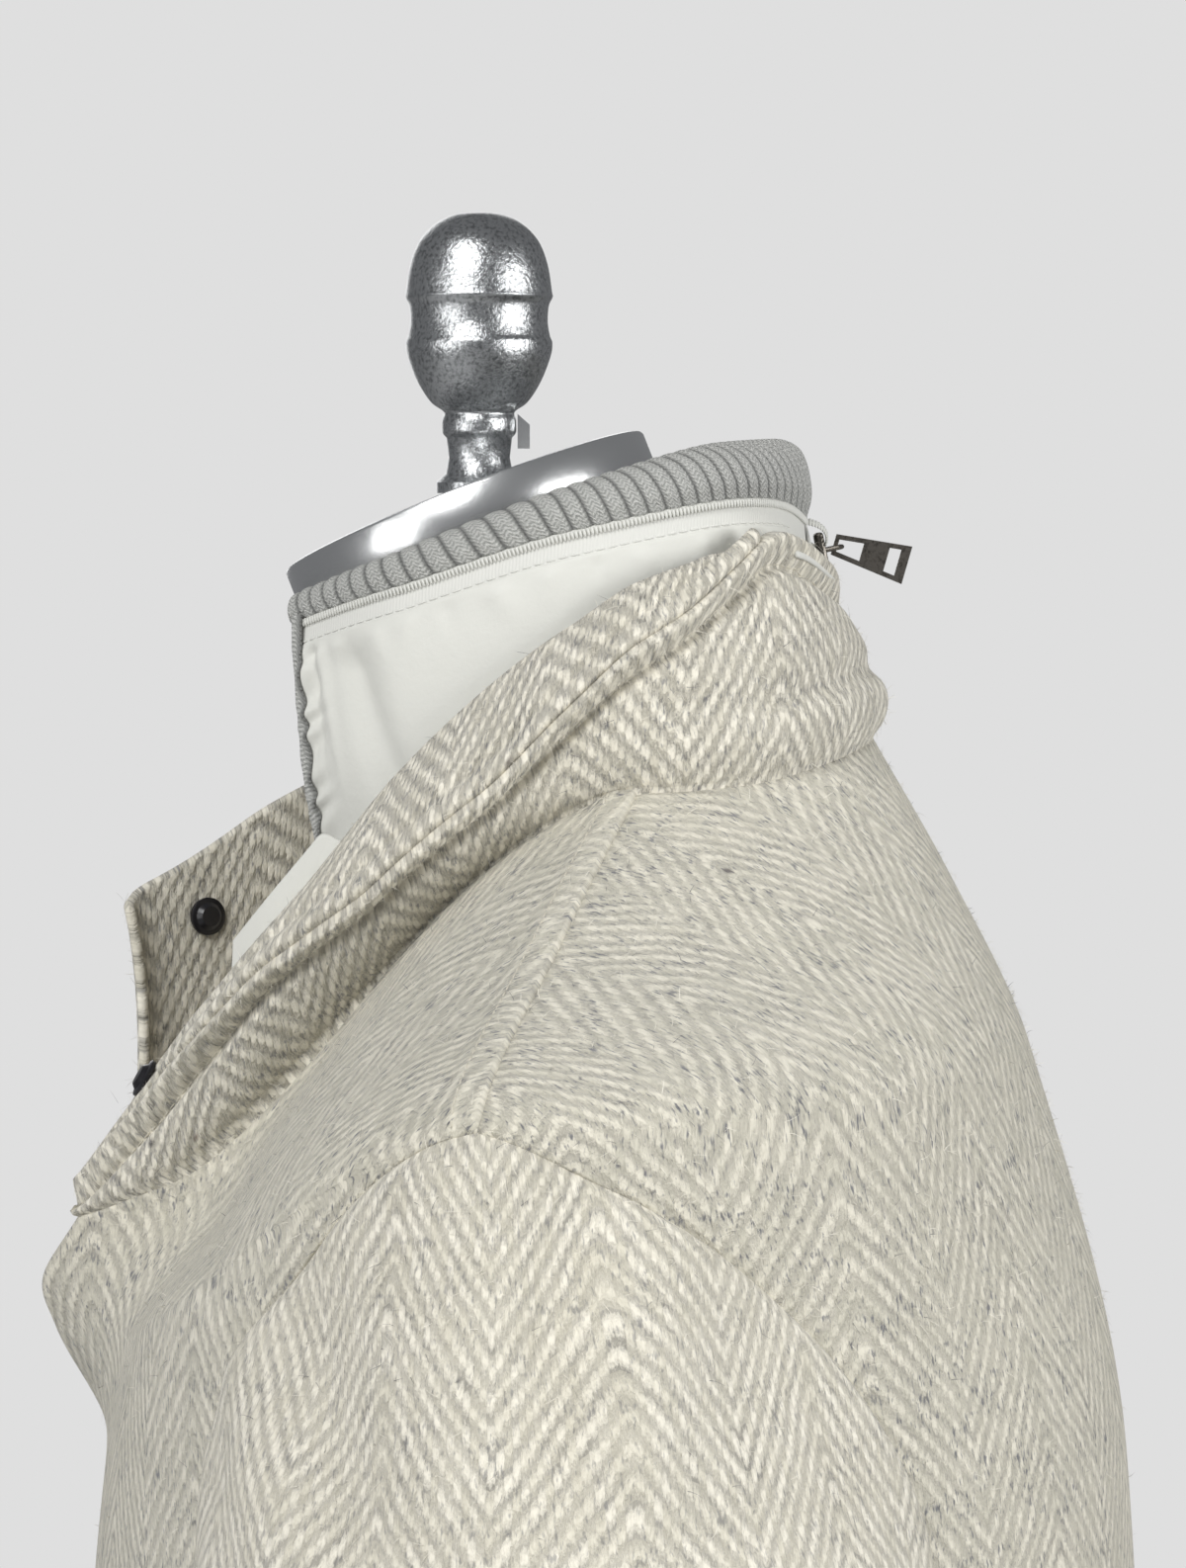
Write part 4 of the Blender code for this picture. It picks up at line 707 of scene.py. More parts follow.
def neckline(along):
    """Points of the neckline by its share of length, the coat's way up there, and the level way out."""
    first = float(turn_at_x(NECK_LEVEL, COAT_RINGS[-1].edge_x))
    fine = np.linspace(first, math.pi - first, 1200)
    whole = np.where((fine < math.pi / 2)[:, None], coat_point(fine, NECK_LEVEL + 0 * fine, 1),
                     coat_point(fine, NECK_LEVEL + 0 * fine, -1))
    run = runs(whole, 0)
    turns = np.interp(along * run[-1], run, fine)
    is_left, level = (turns < math.pi / 2)[:, None], NECK_LEVEL + 0 * turns
    points = np.where(is_left, coat_point(turns, level, 1), coat_point(turns, level, -1))
    higher, lower = level + 1e-4, level - 1e-4
    rise = np.where(is_left, *(coat_point(turns, higher, s) - coat_point(turns, lower, s) for s in (1, -1)))
    ahead = np.gradient(points, along, axis=0)
    out = unit(np.stack([ahead[:, 1], -ahead[:, 0], 0 * ahead[:, 0]], 1))
    return points, unit(rise), out


def collar_grid(along, shares):
    """Parabola through the seam (share 0), belly (one half) and bead (1) of the section at each place."""
    points, rise, out = neckline(along)
    base = points + rise * SEAM * COLLAR_GAP
    column = {n: smooth(COLLAR_ROWS, "along", n, along)[:, None] for n in CollarRow._fields[1:]}
    belly = base + out * column["belly_out"] + UP * column["belly_up"]
    bead = base + out * column["bead_out"] + UP * column["bead_up"]
    t = np.asarray(shares)[:, None, None]
    return base * (1 - t) * (1 - 2 * t) + belly * 4 * t * (1 - t) + bead * t * (2 * t - 1), out, column


def facing_grid(along, shares):
    """Quadratic curve from the under collar's top edge, over a knee, to the pouch."""
    grid, out, column = collar_grid(along, [5 / 6, 1])
    way = unit(grid[1] - grid[0])
    bead = grid[1] - way * FACING_TUCK
    in_step, up_step = (column[f"facing_{n}"] - column[f"bead_{n}"] for n in ("out", "up"))
    end = bead + out * in_step + UP * up_step
    bend = np.minimum(1, np.hypot(in_step, up_step) / KNEE_FULL)
    knee = bead + (way * KNEE_ON + out * KNEE_OUT + UP * KNEE_UP) * bend
    t = np.asarray(shares)[:, None, None]
    return bead * (1 - t) ** 2 + knee * 2 * t * (1 - t) + end * t * t, out


def bell(distance, middle, width):
    """A bell curve: e to the power of minus the squared distance from its middle, in widths."""
    return np.exp(-((distance - middle) / width) ** 2)


# %% The two collar pieces
COLLAR_ALONG = np.concatenate([[0, 0.002, 0.005], np.linspace(0.009, 0.991, 230), [0.995, 0.998, 1]])
COLLAR_SHARES = np.concatenate([np.linspace(0, 0.16, 9)[:-1], np.linspace(0.16, 0.72, 18)[:-1],
                                np.linspace(0.72, 1, 24)])
TUCKS = (0.0050, 0.0042), (0.0020, 0.0030)           # rows under the body: down and in
STITCH_DROP = 0.0074                                 # the sewing below the rolled edge
TOP_STRIPE = 0.061                                   # where the weave starts on the top collar
Ridge = namedtuple("Ridge", "lift middle width")     # a bell curve, or a groove where its lift is negative
UNDER_BEAD, UNDER_GROOVE = Ridge(0.0034, 0.0014, 0.0030), Ridge(-0.0032, 0.0080, 0.0017)
BACK_GROOVE, BACK_SWELL = Ridge(-0.0026, 0.029, 0.0042), Ridge(0.0006, 0.019, 0.0070)
TOP_BEAD, TOP_GROOVE = Ridge(0.0022, 0.0034, 0.0024), Ridge(-0.0012, 0.0090, 0.0016)


def ridge(distance, shape):
    """The lift of a bell-shaped ridge at a distance across it."""
    return shape.lift * bell(distance, shape.middle, shape.width)


def make_under_collar():
    """The parabola's grid, tucked under the body at the neckline. A bead and a groove run below its top."""
    grid = collar_grid(COLLAR_ALONG, COLLAR_SHARES)[0]
    points, rise, _ = neckline(COLLAR_ALONG)
    below = unit(np.cross(np.gradient(points, axis=0), rise))
    tuck = [points - rise * down - below * inward for down, inward in TUCKS]
    grid = np.concatenate([tuck, grid[2:]])
    normals = normals_of(grid)
    up_run = runs(grid, 0)
    from_top = up_run[-1:] - up_run
    at_back = bell(COLLAR_ALONG, 0.47, 0.13)
    rolled = 1 - ease((COLLAR_ALONG - 0.78) / 0.12)
    lift = (rolled * (ridge(from_top, UNDER_BEAD) + ridge(from_top, UNDER_GROOVE))
            + at_back * (ridge(up_run, BACK_GROOVE) + ridge(up_run, BACK_SWELL)))
    outer = grid + normals * lift[..., None]
    uv = np.stack([runs(grid, 1)[len(COLLAR_SHARES) // 2][None] + 0 * up_run, up_run], -1)
    piece = cloth_wall("under_collar_cloth", outer, grid - normals * CLOTH, WOOL_COLLAR, uv, "wool",
                       "under_collar")
    declare(piece, grid)
    groove = np.argmin(np.abs(from_top - STITCH_DROP), axis=0)
    kept = np.flatnonzero((COLLAR_ALONG > 0.01) & (COLLAR_ALONG < 0.8))
    STITCHED.append(("collar_stitches", outer[groove[kept], kept], normals[groove[kept], kept], "wool"))


def make_top_collar():
    """The facing's grid, with a bead along its rolled edge and a groove beside it."""
    along = np.concatenate([[0, 0.002, 0.005], np.linspace(0.009, FACING_TO, 110)])
    grid, _ = facing_grid(along, np.concatenate([np.linspace(0, 0.3, 10)[:-1], np.linspace(0.3, 1, 16)]))
    normals = normals_of(grid)
    in_run = runs(grid, 0)
    outer = grid + normals * (ridge(in_run, TOP_BEAD) + ridge(in_run, TOP_GROOVE))[..., None]
    uv = np.stack([runs(grid, 1)[0][None] + 0 * in_run, in_run + TOP_STRIPE], -1)
    inner = grid - normals * CLOTH
    piece = cloth_wall("top_collar_cloth", outer, inner, WOOL_COLLAR, uv, "wool", "top_collar")
    declare(piece, grid)


make_under_collar()
make_top_collar()

# %% [markdown]
# ## The nap
#
# Fulled wool has loose fibres that stand off the cloth and blur its edge against the light. A hair system
# could grow them, but it wouldn't go with the exported mesh, so each fibre is a thin bent ribbon of three
# quads, rooted at a random place on a wool face. They are thickest on the collar and shoulders.

# %% Loose fibres
FIBRES = 24000
FIBRE_LENGTHS, FIBRE_HALF_WIDTHS = (0.0018, 0.0052), (0.00004, 0.00008)
UPPER_FROM, UPPER_MORE = 1.27, 14        # above this level the nap is this many times thicker again


def nap_finish():
    """Single wool fibres: mostly cream, a few grey and dark, set by a random number in each fibre's UV."""
    finish, tree, shader = new_finish("wool_fibres", Roughness=0.9, Specular_IOR_Level=0.1)
    place = add(tree, "UVMap", uv_map="cloth")
    pick = add(tree, "SeparateXYZ", {0: place})
    dark = add(tree, "MapRange", {"Value": pick, 1: 0.10, 2: 0.16})
    tone = add(tree, "Mix", {0: pick, 6: "#c9c4b6", 7: "#f4f0e4"}, out=2, data_type="RGBA")
    mixed = add(tree, "Mix", {0: dark, 6: "#6b6a6c", 7: tone}, out=2, data_type="RGBA")
    tree.links.new(mixed, shader.inputs["Base Color"])
    return finish


def make_nap(count):
    """Roots are drawn by face area. A fibre leaves between the face and its normal, and bends down."""
    rng = np.random.default_rng(7)
    roots, ways, weights = [], [], []
    for grid, sign in NAPPED:
        middle = (grid[1:, 1:] + grid[:-1, :-1] + grid[1:, :-1] + grid[:-1, 1:]) / 4
        normal = sign * np.cross(grid[1:, 1:] - grid[:-1, :-1], grid[1:, :-1] - grid[:-1, 1:])
        area = np.linalg.norm(normal, axis=-1)
        roots.append(middle.reshape(-1, 3))
        ways.append(unit(normal).reshape(-1, 3))
        weights.append((area * (1 + UPPER_MORE * ease((middle[..., 2] - UPPER_FROM) / 0.10))).ravel())
    roots, ways, weights = np.concatenate(roots), np.concatenate(ways), np.concatenate(weights)
    chosen = rng.choice(len(roots), count, p=weights / weights.sum())
    normal = ways[chosen]
    aside = unit(np.cross(normal, rng.normal(size=(count, 3))))
    root = roots[chosen] + aside * rng.normal(scale=0.0022, size=(count, 1)) - normal * 0.0003
    lean = unit(aside + normal * rng.uniform(0.10, 0.75, (count, 1)))
    curl = unit(np.cross(normal, aside)) * rng.normal(scale=0.5, size=(count, 1)) - UP * 0.25
    length = rng.uniform(*FIBRE_LENGTHS, (count, 1))
    t = np.array([0.0, 0.35, 0.7, 1.0])[:, None, None]
    spine = root + length * (lean * t + curl * t * t * 0.6)
    flat = unit(np.cross(lean, normal))
    half = np.array([1.0, 0.9, 0.65, 0.15])[:, None, None] * rng.uniform(*FIBRE_HALF_WIDTHS, (count, 1))
    points = np.stack([spine - flat * half, spine + flat * half], 2).transpose(1, 0, 2, 3)
    ids = np.arange(count * 8).reshape(count, 4, 2)
    faces = np.stack([ids[:, :-1, 0], ids[:, :-1, 1], ids[:, 1:, 1], ids[:, 1:, 0]], -1).reshape(-1, 4)
    uvs = np.repeat(np.stack([rng.uniform(size=count), rng.uniform(size=count)], -1), 8, axis=0)
    piece = put_mesh("wool_nap", points.reshape(-1, 3), faces, nap_finish(), uvs)
    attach(piece, "coat")
    print(f"wool_nap: {count} fibres")


make_nap(FIBRES)

# %% [markdown]
# ## The rib-knit inner collar
#
# A rib knit is columns of stitches that stand up between columns that sink back. Modelling every loop would
# need millions of faces, and a flat bump would lose the scalloped top edge. So the ribs are real shape and
# the small V-shaped stitches are a bump that follows each rib's own UV.

# %% Rib knit, nylon and zip tape
RIB = 0.0052              # one rib and its valley
STITCH = 0.0013           # one loop along the rib


def rib_knit():
    """Grey mixed wool yarn: soft, no gloss, with painted light on the loops and painted shade between them and
    in the rib valleys.
    """
    finish, tree, shader = new_finish("rib_knit_wool", Roughness=0.95, Sheen_Weight=0.2,
                                      Specular_IOR_Level=0.1)
    place = add(tree, "UVMap", uv_map="cloth")
    across = add(tree, "SeparateXYZ", {0: place})
    along = across.node.outputs[1]
    in_rib = add(tree, "Math", {0: across, 1: RIB / 2}, operation="PINGPONG")
    leg = add(tree, "Math", {0: in_rib, 1: RIB / 4}, operation="PINGPONG")
    climb = add(tree, "Math", {0: leg, 1: 1.0, 2: along}, operation="MULTIPLY_ADD")
    turns = add(tree, "Math", {0: climb, 1: 2 * math.pi / STITCH}, operation="MULTIPLY")
    loop = add(tree, "Math", {0: turns}, operation="SINE")
    fibre = add(tree, "TexNoise", {"Vector": place, "Scale": 1700.0, "Detail": 3.0, "Roughness": 0.7})
    fuzz = add(tree, "MapRange", {"Value": fibre, 1: 0.3, 2: 0.7, 3: -1.2, 4: 1.2})
    high = add(tree, "Math", {0: loop, 1: 0.70, 2: fuzz}, operation="MULTIPLY_ADD")
    # lighter on the loops' crowns and darker between them: painted light and shade, with random fibre tone
    light = add(tree, "MapRange", {"Value": high, 1: -1.5, 2: 1.5}, interpolation_type="SMOOTHSTEP")
    yarn = add(tree, "Mix", {0: light, 6: "#b1b2ad", 7: "#f4f4ef"}, out=2, data_type="RGBA")
    # darker painted shade down in the valley between the ribs
    valley = add(tree, "MapRange", {"Value": in_rib, 1: 0.0, 2: 0.0009})
    shaded = add(tree, "Mix", {0: valley, 6: "#7b7c79", 7: yarn}, out=2, data_type="RGBA")
    tree.links.new(shaded, shader.inputs["Base Color"])
    bump = add(tree, "Bump", {"Strength": 0.8, "Distance": 0.0006, "Height": high})
    tree.links.new(bump, shader.inputs["Normal"])
    return finish


def white_nylon():
    """Fine plain nylon: a faint even gloss and tiny wrinkles."""
    finish, tree, shader = new_finish("white_nylon", Base_Color="#d8d8d1", Roughness=0.55, Sheen_Weight=0.1,
                                      Specular_IOR_Level=0.3)
    place = add(tree, "UVMap", uv_map="cloth")
    wrinkle = add(tree, "TexNoise", {"Vector": place, "Scale": 240.0, "Detail": 4.0, "Roughness": 0.6})
    bump = add(tree, "Bump", {"Strength": 0.35, "Distance": 0.0006, "Height": wrinkle})
    tree.links.new(bump, shader.inputs["Normal"])
    return finish


def zip_white():
    """Woven polyester tape and its coil: matt white with fine cross threads."""
    finish, tree, shader = new_finish("zip_tape_white", Base_Color="#d9d9d3", Roughness=0.6,
                                      Specular_IOR_Level=0.3)
    place = add(tree, "UVMap", uv_map="cloth")
    thread = add(tree, "TexWave", {"Vector": place, "Scale": 320.0}, out=1)
    bump = add(tree, "Bump", {"Strength": 0.4, "Distance": 0.0002, "Height": thread})
    tree.links.new(bump, shader.inputs["Normal"])
    return finish


KNIT_WOOL, NYLON, ZIP_WHITE = rib_knit(), white_nylon(), zip_white()
print("finishes:", KNIT_WOOL.name, NYLON.name, ZIP_WHITE.name)

# %% The knit's surface
KnitRow = namedtuple("KnitRow", "turn_deg x y top_z base_z lean roll")
KNIT_ROWS = tuple(map(KnitRow._make, (
    (-62, 0.034, -0.083, 1.510, 1.450, 0.008, 0.60), (-30, 0.061, -0.052, 1.5222, 1.456, 0.003, 0.70),
    (0, 0.069, -0.010, 1.5378, 1.462, 0.0, 0.85), (45, 0.052, 0.031, 1.5487, 1.462, 0.0, 1.05),
    (90, 0.000, 0.048, 1.5500, 1.462, 0.0, 1.10),
)))
KNIT_ALL = KNIT_ROWS + tuple(r._replace(turn_deg=180 - r.turn_deg, x=-r.x) for r in KNIT_ROWS[-2::-1])
KNIT_EDGE = (0.0080, -0.0095)
KNIT_PROFILE = (KNIT_EDGE, (0.0089, -0.0045), (0.0064, 0.0012), (0.0, 0.0040), (-0.0058, 0.0006),
                (-0.0068, -0.0080))
KNIT, KNIT_INSIDE, RIBS, RIB_LEAN = 0.0026, -0.0058, 72, 0.45
RIB_RISE, RIB_SINK, BACK_DROP = 0.0013, 0.0005, 0.0065


def knit_path(turn_deg):
    """Points of the knit's top line, the level way out, and the size of its roll."""
    x, y, z, roll = (smooth(KNIT_ALL, "turn_deg", n, turn_deg) for n in ("x", "y", "top_z", "roll"))
    ahead, behind = ([smooth(KNIT_ALL, "turn_deg", n, turn_deg + step) for n in "xy"] for step in (0.5, -0.5))
    dx, dy = ahead[0] - behind[0], ahead[1] - behind[1]
    return np.stack([x, y, z], -1), unit(np.stack([dy, -dx, 0 * x], -1)), roll[:, None]


def through(points, count):
    """A Catmull-Rom curve through rows of points: a cubic's end slopes are half the step across its ends."""
    padded = np.concatenate([2 * points[:1] - points[1:2], points, 2 * points[-1:] - points[-2:-1]])
    at = np.linspace(0, len(points) - 1, count)
    i = np.minimum(at.astype(int), len(points) - 2)
    t = (at - i).reshape(-1, *[1] * (points.ndim - 1))
    a, b, c, d = (padded[i + k] for k in range(4))
    second, third = 2 * a - 5 * b + 4 * c - d, 3 * b - a - 3 * c + d
    return 0.5 * (2 * b + (c - a) * t + second * t ** 2 + third * t ** 3)


def back_drop(turn_deg):
    """How much lower the knit's edge comes round the back: a bell curve over the turn."""
    return BACK_DROP * bell(turn_deg, 88, 19)[:, None]


def knit_grid(turn_deg):
    """The profile's points, scaled by the roll, and one more row down at the neck."""
    points, out, roll = knit_path(turn_deg)
    rows = [points + out * o * roll + UP * u * roll for o, u in KNIT_PROFILE]
    rows[0] = rows[0] - UP * back_drop(turn_deg)
    rows[1] = rows[1] - UP * back_drop(turn_deg) * 0.6
    last = points + out * KNIT_INSIDE
    last[:, 1] += smooth(KNIT_ALL, "turn_deg", "lean", turn_deg)
    last[:, 2] = smooth(KNIT_ALL, "turn_deg", "base_z", turn_deg)
    return through(np.array(rows + [last]), 56)


def make_knit():
    """The knit's grid, lifted into ribs: the size of a sine of the rib's turn, to a low power to flatten it."""
    turns = np.linspace(KNIT_ALL[0].turn_deg, KNIT_ALL[-1].turn_deg, RIBS * 8 + 1)
    ribs = np.linspace(0, RIBS, RIBS * 8 + 1)
    plain = knit_grid(turns)
    normals = normals_of(plain)
    run = runs(plain, 0)
    leaning = ribs[None] + RIB_LEAN * run / RIB
    crown = np.abs(np.sin(math.pi * leaning)) ** 0.35
    fade = 1 - 0.45 * ease((0.005 - run) / 0.005)
    lift = (RIB_RISE * crown - RIB_SINK) * fade
    uv = np.stack([leaning * RIB, run], -1)
    outer = plain + normals * lift[..., None]
    piece = cloth_wall("rib_knit_collar", outer, plain - KNIT * normals, KNIT_WOOL, uv, "knit", "knit_collar")
    declare(piece, plain)


make_knit()

# %% [markdown]
# ## The open pouch and its zip
#
# Where the zip is open the collar shows its white lining. Thin nylon sewn to a stiff tape puckers along the
# stitches, so the lining is given short waves that die away below the seam, and a few longer folds.
# The coil is one bent wire on the real zip; here it is a row of small rounded loops along the tape's edge.

# %% Lining and tapes
ZIP_TAPE, ZIP_THICK, LINING = 0.0085, 0.0014, 0.0012


def zip_edge(turn_deg):
    """The knit's lower outer edge, where the zip is sewn, and the level way out."""
    points, out, roll = knit_path(turn_deg)
    return points + out * KNIT_EDGE[0] * roll + UP * (KNIT_EDGE[1] * roll - back_drop(turn_deg)), out


def strip(name, outer, thickness, finish, slot, node):
    """A thin wall with a UV in metres, whose cut is printed."""
    uv = np.stack([runs(outer, 1), runs(outer, 0)], -1)
    piece = cloth_wall(name, outer, outer - thickness * normals_of(outer), finish, uv, slot, node)
    declare(piece, outer)


def zip_strip(name, outer, node):
    """A strip of zip tape."""
    strip(name, outer, ZIP_THICK, ZIP_WHITE, "zip_tape", node)


def make_upper_tape():
    """A strip that hangs from the knit's edge."""
    edge, out = zip_edge(np.linspace(-60, 82, 200))
    t = np.linspace(1, 0, 10)[:, None, None]
    grid = edge - UP * (SEAM + ZIP_TAPE * t) + out * 0.0008 * t
    zip_strip("upper_tape", grid, "zip_tape_upper")


LiningRow = namedtuple("LiningRow", "down out")
LINING_ROWS = tuple(map(LiningRow._make, (
    (0.0, 0.0010), (0.016, 0.0022), (0.036, 0.0030), (0.056, 0.0016),
)))
Pucker = namedtuple("Pucker", "turn_deg width_deg reach lift lean")
PUCKERS = tuple(map(Pucker._make, (
    (-57.0, 1.0, 0.052, 0.0010, 30), (-54.5, 1.2, 0.050, -0.0011, 70), (-51.5, 1.5, 0.056, 0.0013, 110),
    (-47.0, 2.2, 0.030, 0.0012, 160), (-37.0, 2.6, 0.022, 0.0010, 240), (-29.0, 2.4, 0.016, 0.0008, -130),
    (-22.0, 1.6, 0.012, -0.0006, 160), (-14.0, 2.4, 0.018, 0.0009, 320), (-3.0, 2.4, 0.014, 0.0007, -160),
    (6.0, 1.6, 0.010, -0.0006, 0), (15.0, 2.6, 0.016, 0.0009, 300), (31.0, 2.6, 0.012, 0.0007, 220),
    (46.0, 2.4, 0.016, 0.0008, -120), (56.0, 2.0, 0.014, 0.0008, 100),
)))
LINING_FRONT, LINING_DROP = -59.5, 0.056            # the turn at its front edge in degrees, and its depth
GATHER, GATHER_PITCH = 0.0008, 0.0085               # short waves where the binding gathers it
VALLEY, VALLEY_TURN, VALLEY_LEAN, VALLEY_WIDTH = 0.0034, -45, 260, 4.2
BINDING_OUT, BINDING_HALF, BINDING_WALL = 0.0014, 0.0017, 0.0008
OUTER_LEG, INNER_LEG = (0.0032, 0.0016), (0.0026,)  # steps back from the fold on each face
POUCH_EDGE_ALONG = (0.088, 0.165)                   # from and to, along the neckline
TAPER, TAPER_FROM, TAPER_RUN = 0.8, 0.143, 0.022    # share of its height lost, from where and over how far
POUCH_EDGE_ROWS = ((0.0012, -0.008), (0.0002, 0.003), (0.0010, 0.014))      # in and up, from the facing's end


def make_lining():
    """The sheet below the zip's edge, lifted by bell-shaped puckers, one broad valley and the gathers."""
    turns, down = np.linspace(LINING_FRONT, 66, 320), np.linspace(LINING_DROP, 0, 72)
    edge, out = zip_edge(turns)
    lean = smooth(KNIT_ALL, "turn_deg", "lean", turns)[:, None] * np.array([0, 1.0, 0])
    d = down[:, None, None]
    bulge = smooth(LINING_ROWS, "down", "out", down)[:, None, None]
    plain = edge - UP * (ZIP_TAPE - 0.0008 + d) + out * bulge + lean * d / 0.06
    lift = np.zeros(plain.shape[:2])
    for p in PUCKERS:
        off = (turns[None] - p.turn_deg - p.lean * down[:, None]) / p.width_deg
        lift += p.lift * np.exp(-off ** 2) * (1 - ease(down / p.reach))[:, None] * ease(down / 0.004)[:, None]
    valley = bell(turns[None], VALLEY_TURN + VALLEY_LEAN * down[:, None], VALLEY_WIDTH)
    lift -= VALLEY * valley * ease((down / 0.012))[:, None]
    from_front = turns[None] - LINING_FRONT
    uneven = (down + 0.0016 * np.sin(down / 0.0034))[:, None]
    gathers = np.sin(2 * math.pi * uneven / GATHER_PITCH + from_front * 0.35)
    lift += (GATHER * gathers * bell(turns[None], -56.0, 4.5) * ease(from_front / 2.5)
             * ease(down / 0.006)[:, None])
    outer = plain + normals_of(plain) * lift[..., None]
    strip("pouch_lining_cloth", outer, LINING, NYLON, "nylon", "pouch_lining")
    make_binding(outer[:, 0], unit(outer[:, 0] - outer[:, 6]), normals_of(outer)[:, 0])


def make_binding(edge, front, out):
    """A knit strip folded round the lining's front edge: a half circle, with a flat leg on each face."""
    edge = np.concatenate([edge, edge[-1:] + UP * ZIP_TAPE * 0.5, edge[-1:] + UP * ZIP_TAPE])
    front, out = (np.concatenate([v, v[-1:], v[-1:]])[:, None] for v in (front, out))
    turn = np.linspace(math.pi / 2, -math.pi / 2, 9)[None, :, None]
    fold = edge[:, None] + front * BINDING_OUT * np.cos(turn) + (out * np.sin(turn) - out * 0.4) * BINDING_HALF
    outer_leg = [fold[:, [0]] - front * back for back in OUTER_LEG]
    inner_leg = [fold[:, [-1]] - front * back for back in INNER_LEG]
    grid = np.concatenate([*outer_leg, fold, *inner_leg], 1)[:, ::-1]
    uv = np.stack([0.0013 + 0.35 * runs(grid, 1), runs(grid, 0)], -1)
    inner = grid - normals_of(grid) * BINDING_WALL
    piece = cloth_wall("front_binding", grid, inner, KNIT_WOOL, uv, "knit", None)
    declare(piece, grid)


def make_pouch_edge():
    """A strip that stands up inside the top collar's edge, lower at its back end."""
    along = np.linspace(*POUCH_EDGE_ALONG, 90)
    grid, out = facing_grid(along, np.linspace(0, 1, 6))
    edge = grid[-1] - CLOTH * normals_of(grid)[-1]
    tall = 1 - TAPER * ease((along - TAPER_FROM) / TAPER_RUN)[:, None]
    rows = through(np.array([edge - out * o + UP * u * (tall if u > 0 else 1)
                             for o, u in POUCH_EDGE_ROWS]), 24)
    strip("pouch_edge_cloth", rows, LINING, NYLON, "nylon", "pouch_edge")


def make_other_tapes():
    """The lower tape on the collar's top, and the closed zip between collar and knit on the right."""
    grid = collar_grid(np.linspace(0.400, 0.480, 40), np.linspace(0.95, 0.995, 6))[0][:, 3:-3]
    normals = normals_of(grid)
    outer = grid + normals * (SEAM + ZIP_THICK)
    zip_strip("lower_tape", outer, "zip_tape_lower")
    edge, _ = zip_edge(np.linspace(87, 205, 160))
    top = collar_grid(np.linspace(0.493, 0.79, 160), [0.97, 1.0])[0]
    low = top[1] + unit(top[1] - top[0]) * (SEAM + ZIP_THICK * 1.3)
    t = np.linspace(0, 1, 12)[:, None, None]
    closed = low * (1 - t) + (edge - UP * SEAM) * t
    zip_strip("closed_zip", closed, "zip_closed")


make_upper_tape()
make_lining()
make_pouch_edge()
make_other_tapes()

# %% The zip's coil
def make_coil(name, path, out, pitch=0.0011, wide=0.0011, radius=0.00042, finish=ZIP_WHITE,
              lengthwise=False):
    """Small capsules at each pitch along a path, across it or lengthwise: a tube with rounded ends."""
    run = runs(path, 0)
    at = np.arange(pitch / 2, run[-1], pitch)
    middle, outward = (np.stack([np.interp(at, run, v[:, k]) for k in range(3)], -1) for v in (path, out))
    ahead = unit(np.gradient(middle, axis=0))
    down = unit(np.cross(ahead, outward))
    ends = np.array([-1.0, -0.8, 0.0, 0.8, 1.0])
    sizes = np.array([0.2, 0.85, 1.1, 0.85, 0.2])
    turns = np.linspace(0, 2 * math.pi, 7)[:-1]
    axis, first, second = (ahead, outward, down) if lengthwise else (down, ahead, outward)
    ring = (np.cos(turns)[None, :, None] * first[:, None] + np.sin(turns)[None, :, None] * second[:, None])
    points = (middle[:, None, None] + axis[:, None, None] * (ends * wide)[None, :, None, None]
              + ring[:, None] * (sizes * radius)[None, :, None, None])
    ids = np.arange(points[..., 0].size).reshape(points.shape[:3])
    piece = put_mesh(name, points.reshape(-1, 3), ring_quads(ids), finish, np.zeros((ids.size, 2)))
    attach(piece, "coat")
    print(f"{name}: {len(at)} loops")


COIL_END, BEND = np.array([0.004, 0.0625, 1.5258]), np.array([0.0, 0.0020, 0.0010])   # down to the slider


def coil_paths():
    """The open zip's coil along the knit's edge and down to the slider, and the closed one beside it."""
    edge, out = zip_edge(np.linspace(-60, 82, 400))
    path = edge - UP * 0.0016 + out * 0.0008
    away = np.linspace(0, 1, 60)[1:, None]
    path = np.concatenate([path, path[-1] * (1 - away) + COIL_END * away + BEND * (away * (1 - away)) * 4])
    make_coil("upper_coil", path, np.concatenate([out, np.repeat(out[-1:], 59, 0)]))
    edge, out = zip_edge(np.linspace(96, 204, 300))
    top = collar_grid(np.linspace(0.515, 0.788, 300), [0.97, 1.0])[0]
    middle = (edge + top[1]) / 2
    make_coil("closed_coil", middle + out * 0.0006, out, wide=0.0020)


coil_paths()

# %% Sewing
WOOL_THREAD, _, _ = new_finish("wool_thread", Base_Color="#c9c4b5", Roughness=0.9)
edge, out = zip_edge(np.linspace(-58, 66, 300))
STITCHED.append(("lining_stitches", edge - UP * (ZIP_TAPE - 0.0016) + out * 0.0007, out, "zip_tape"))
for name, path, out, slot in STITCHED:
    thread = WOOL_THREAD if slot == "wool" else ZIP_WHITE
    make_coil(name, path, out, 0.0034, 0.0013, 0.00024, thread, lengthwise=True)

# %% [markdown]
# ## Metal, horn and the form's cover
#
# Small hard things carry most of the highlights in a picture of soft ones. The finial is a rough silver
# casting, the cap a bright plated pressing, the slider a dark gunmetal, and the buttons polished horn.

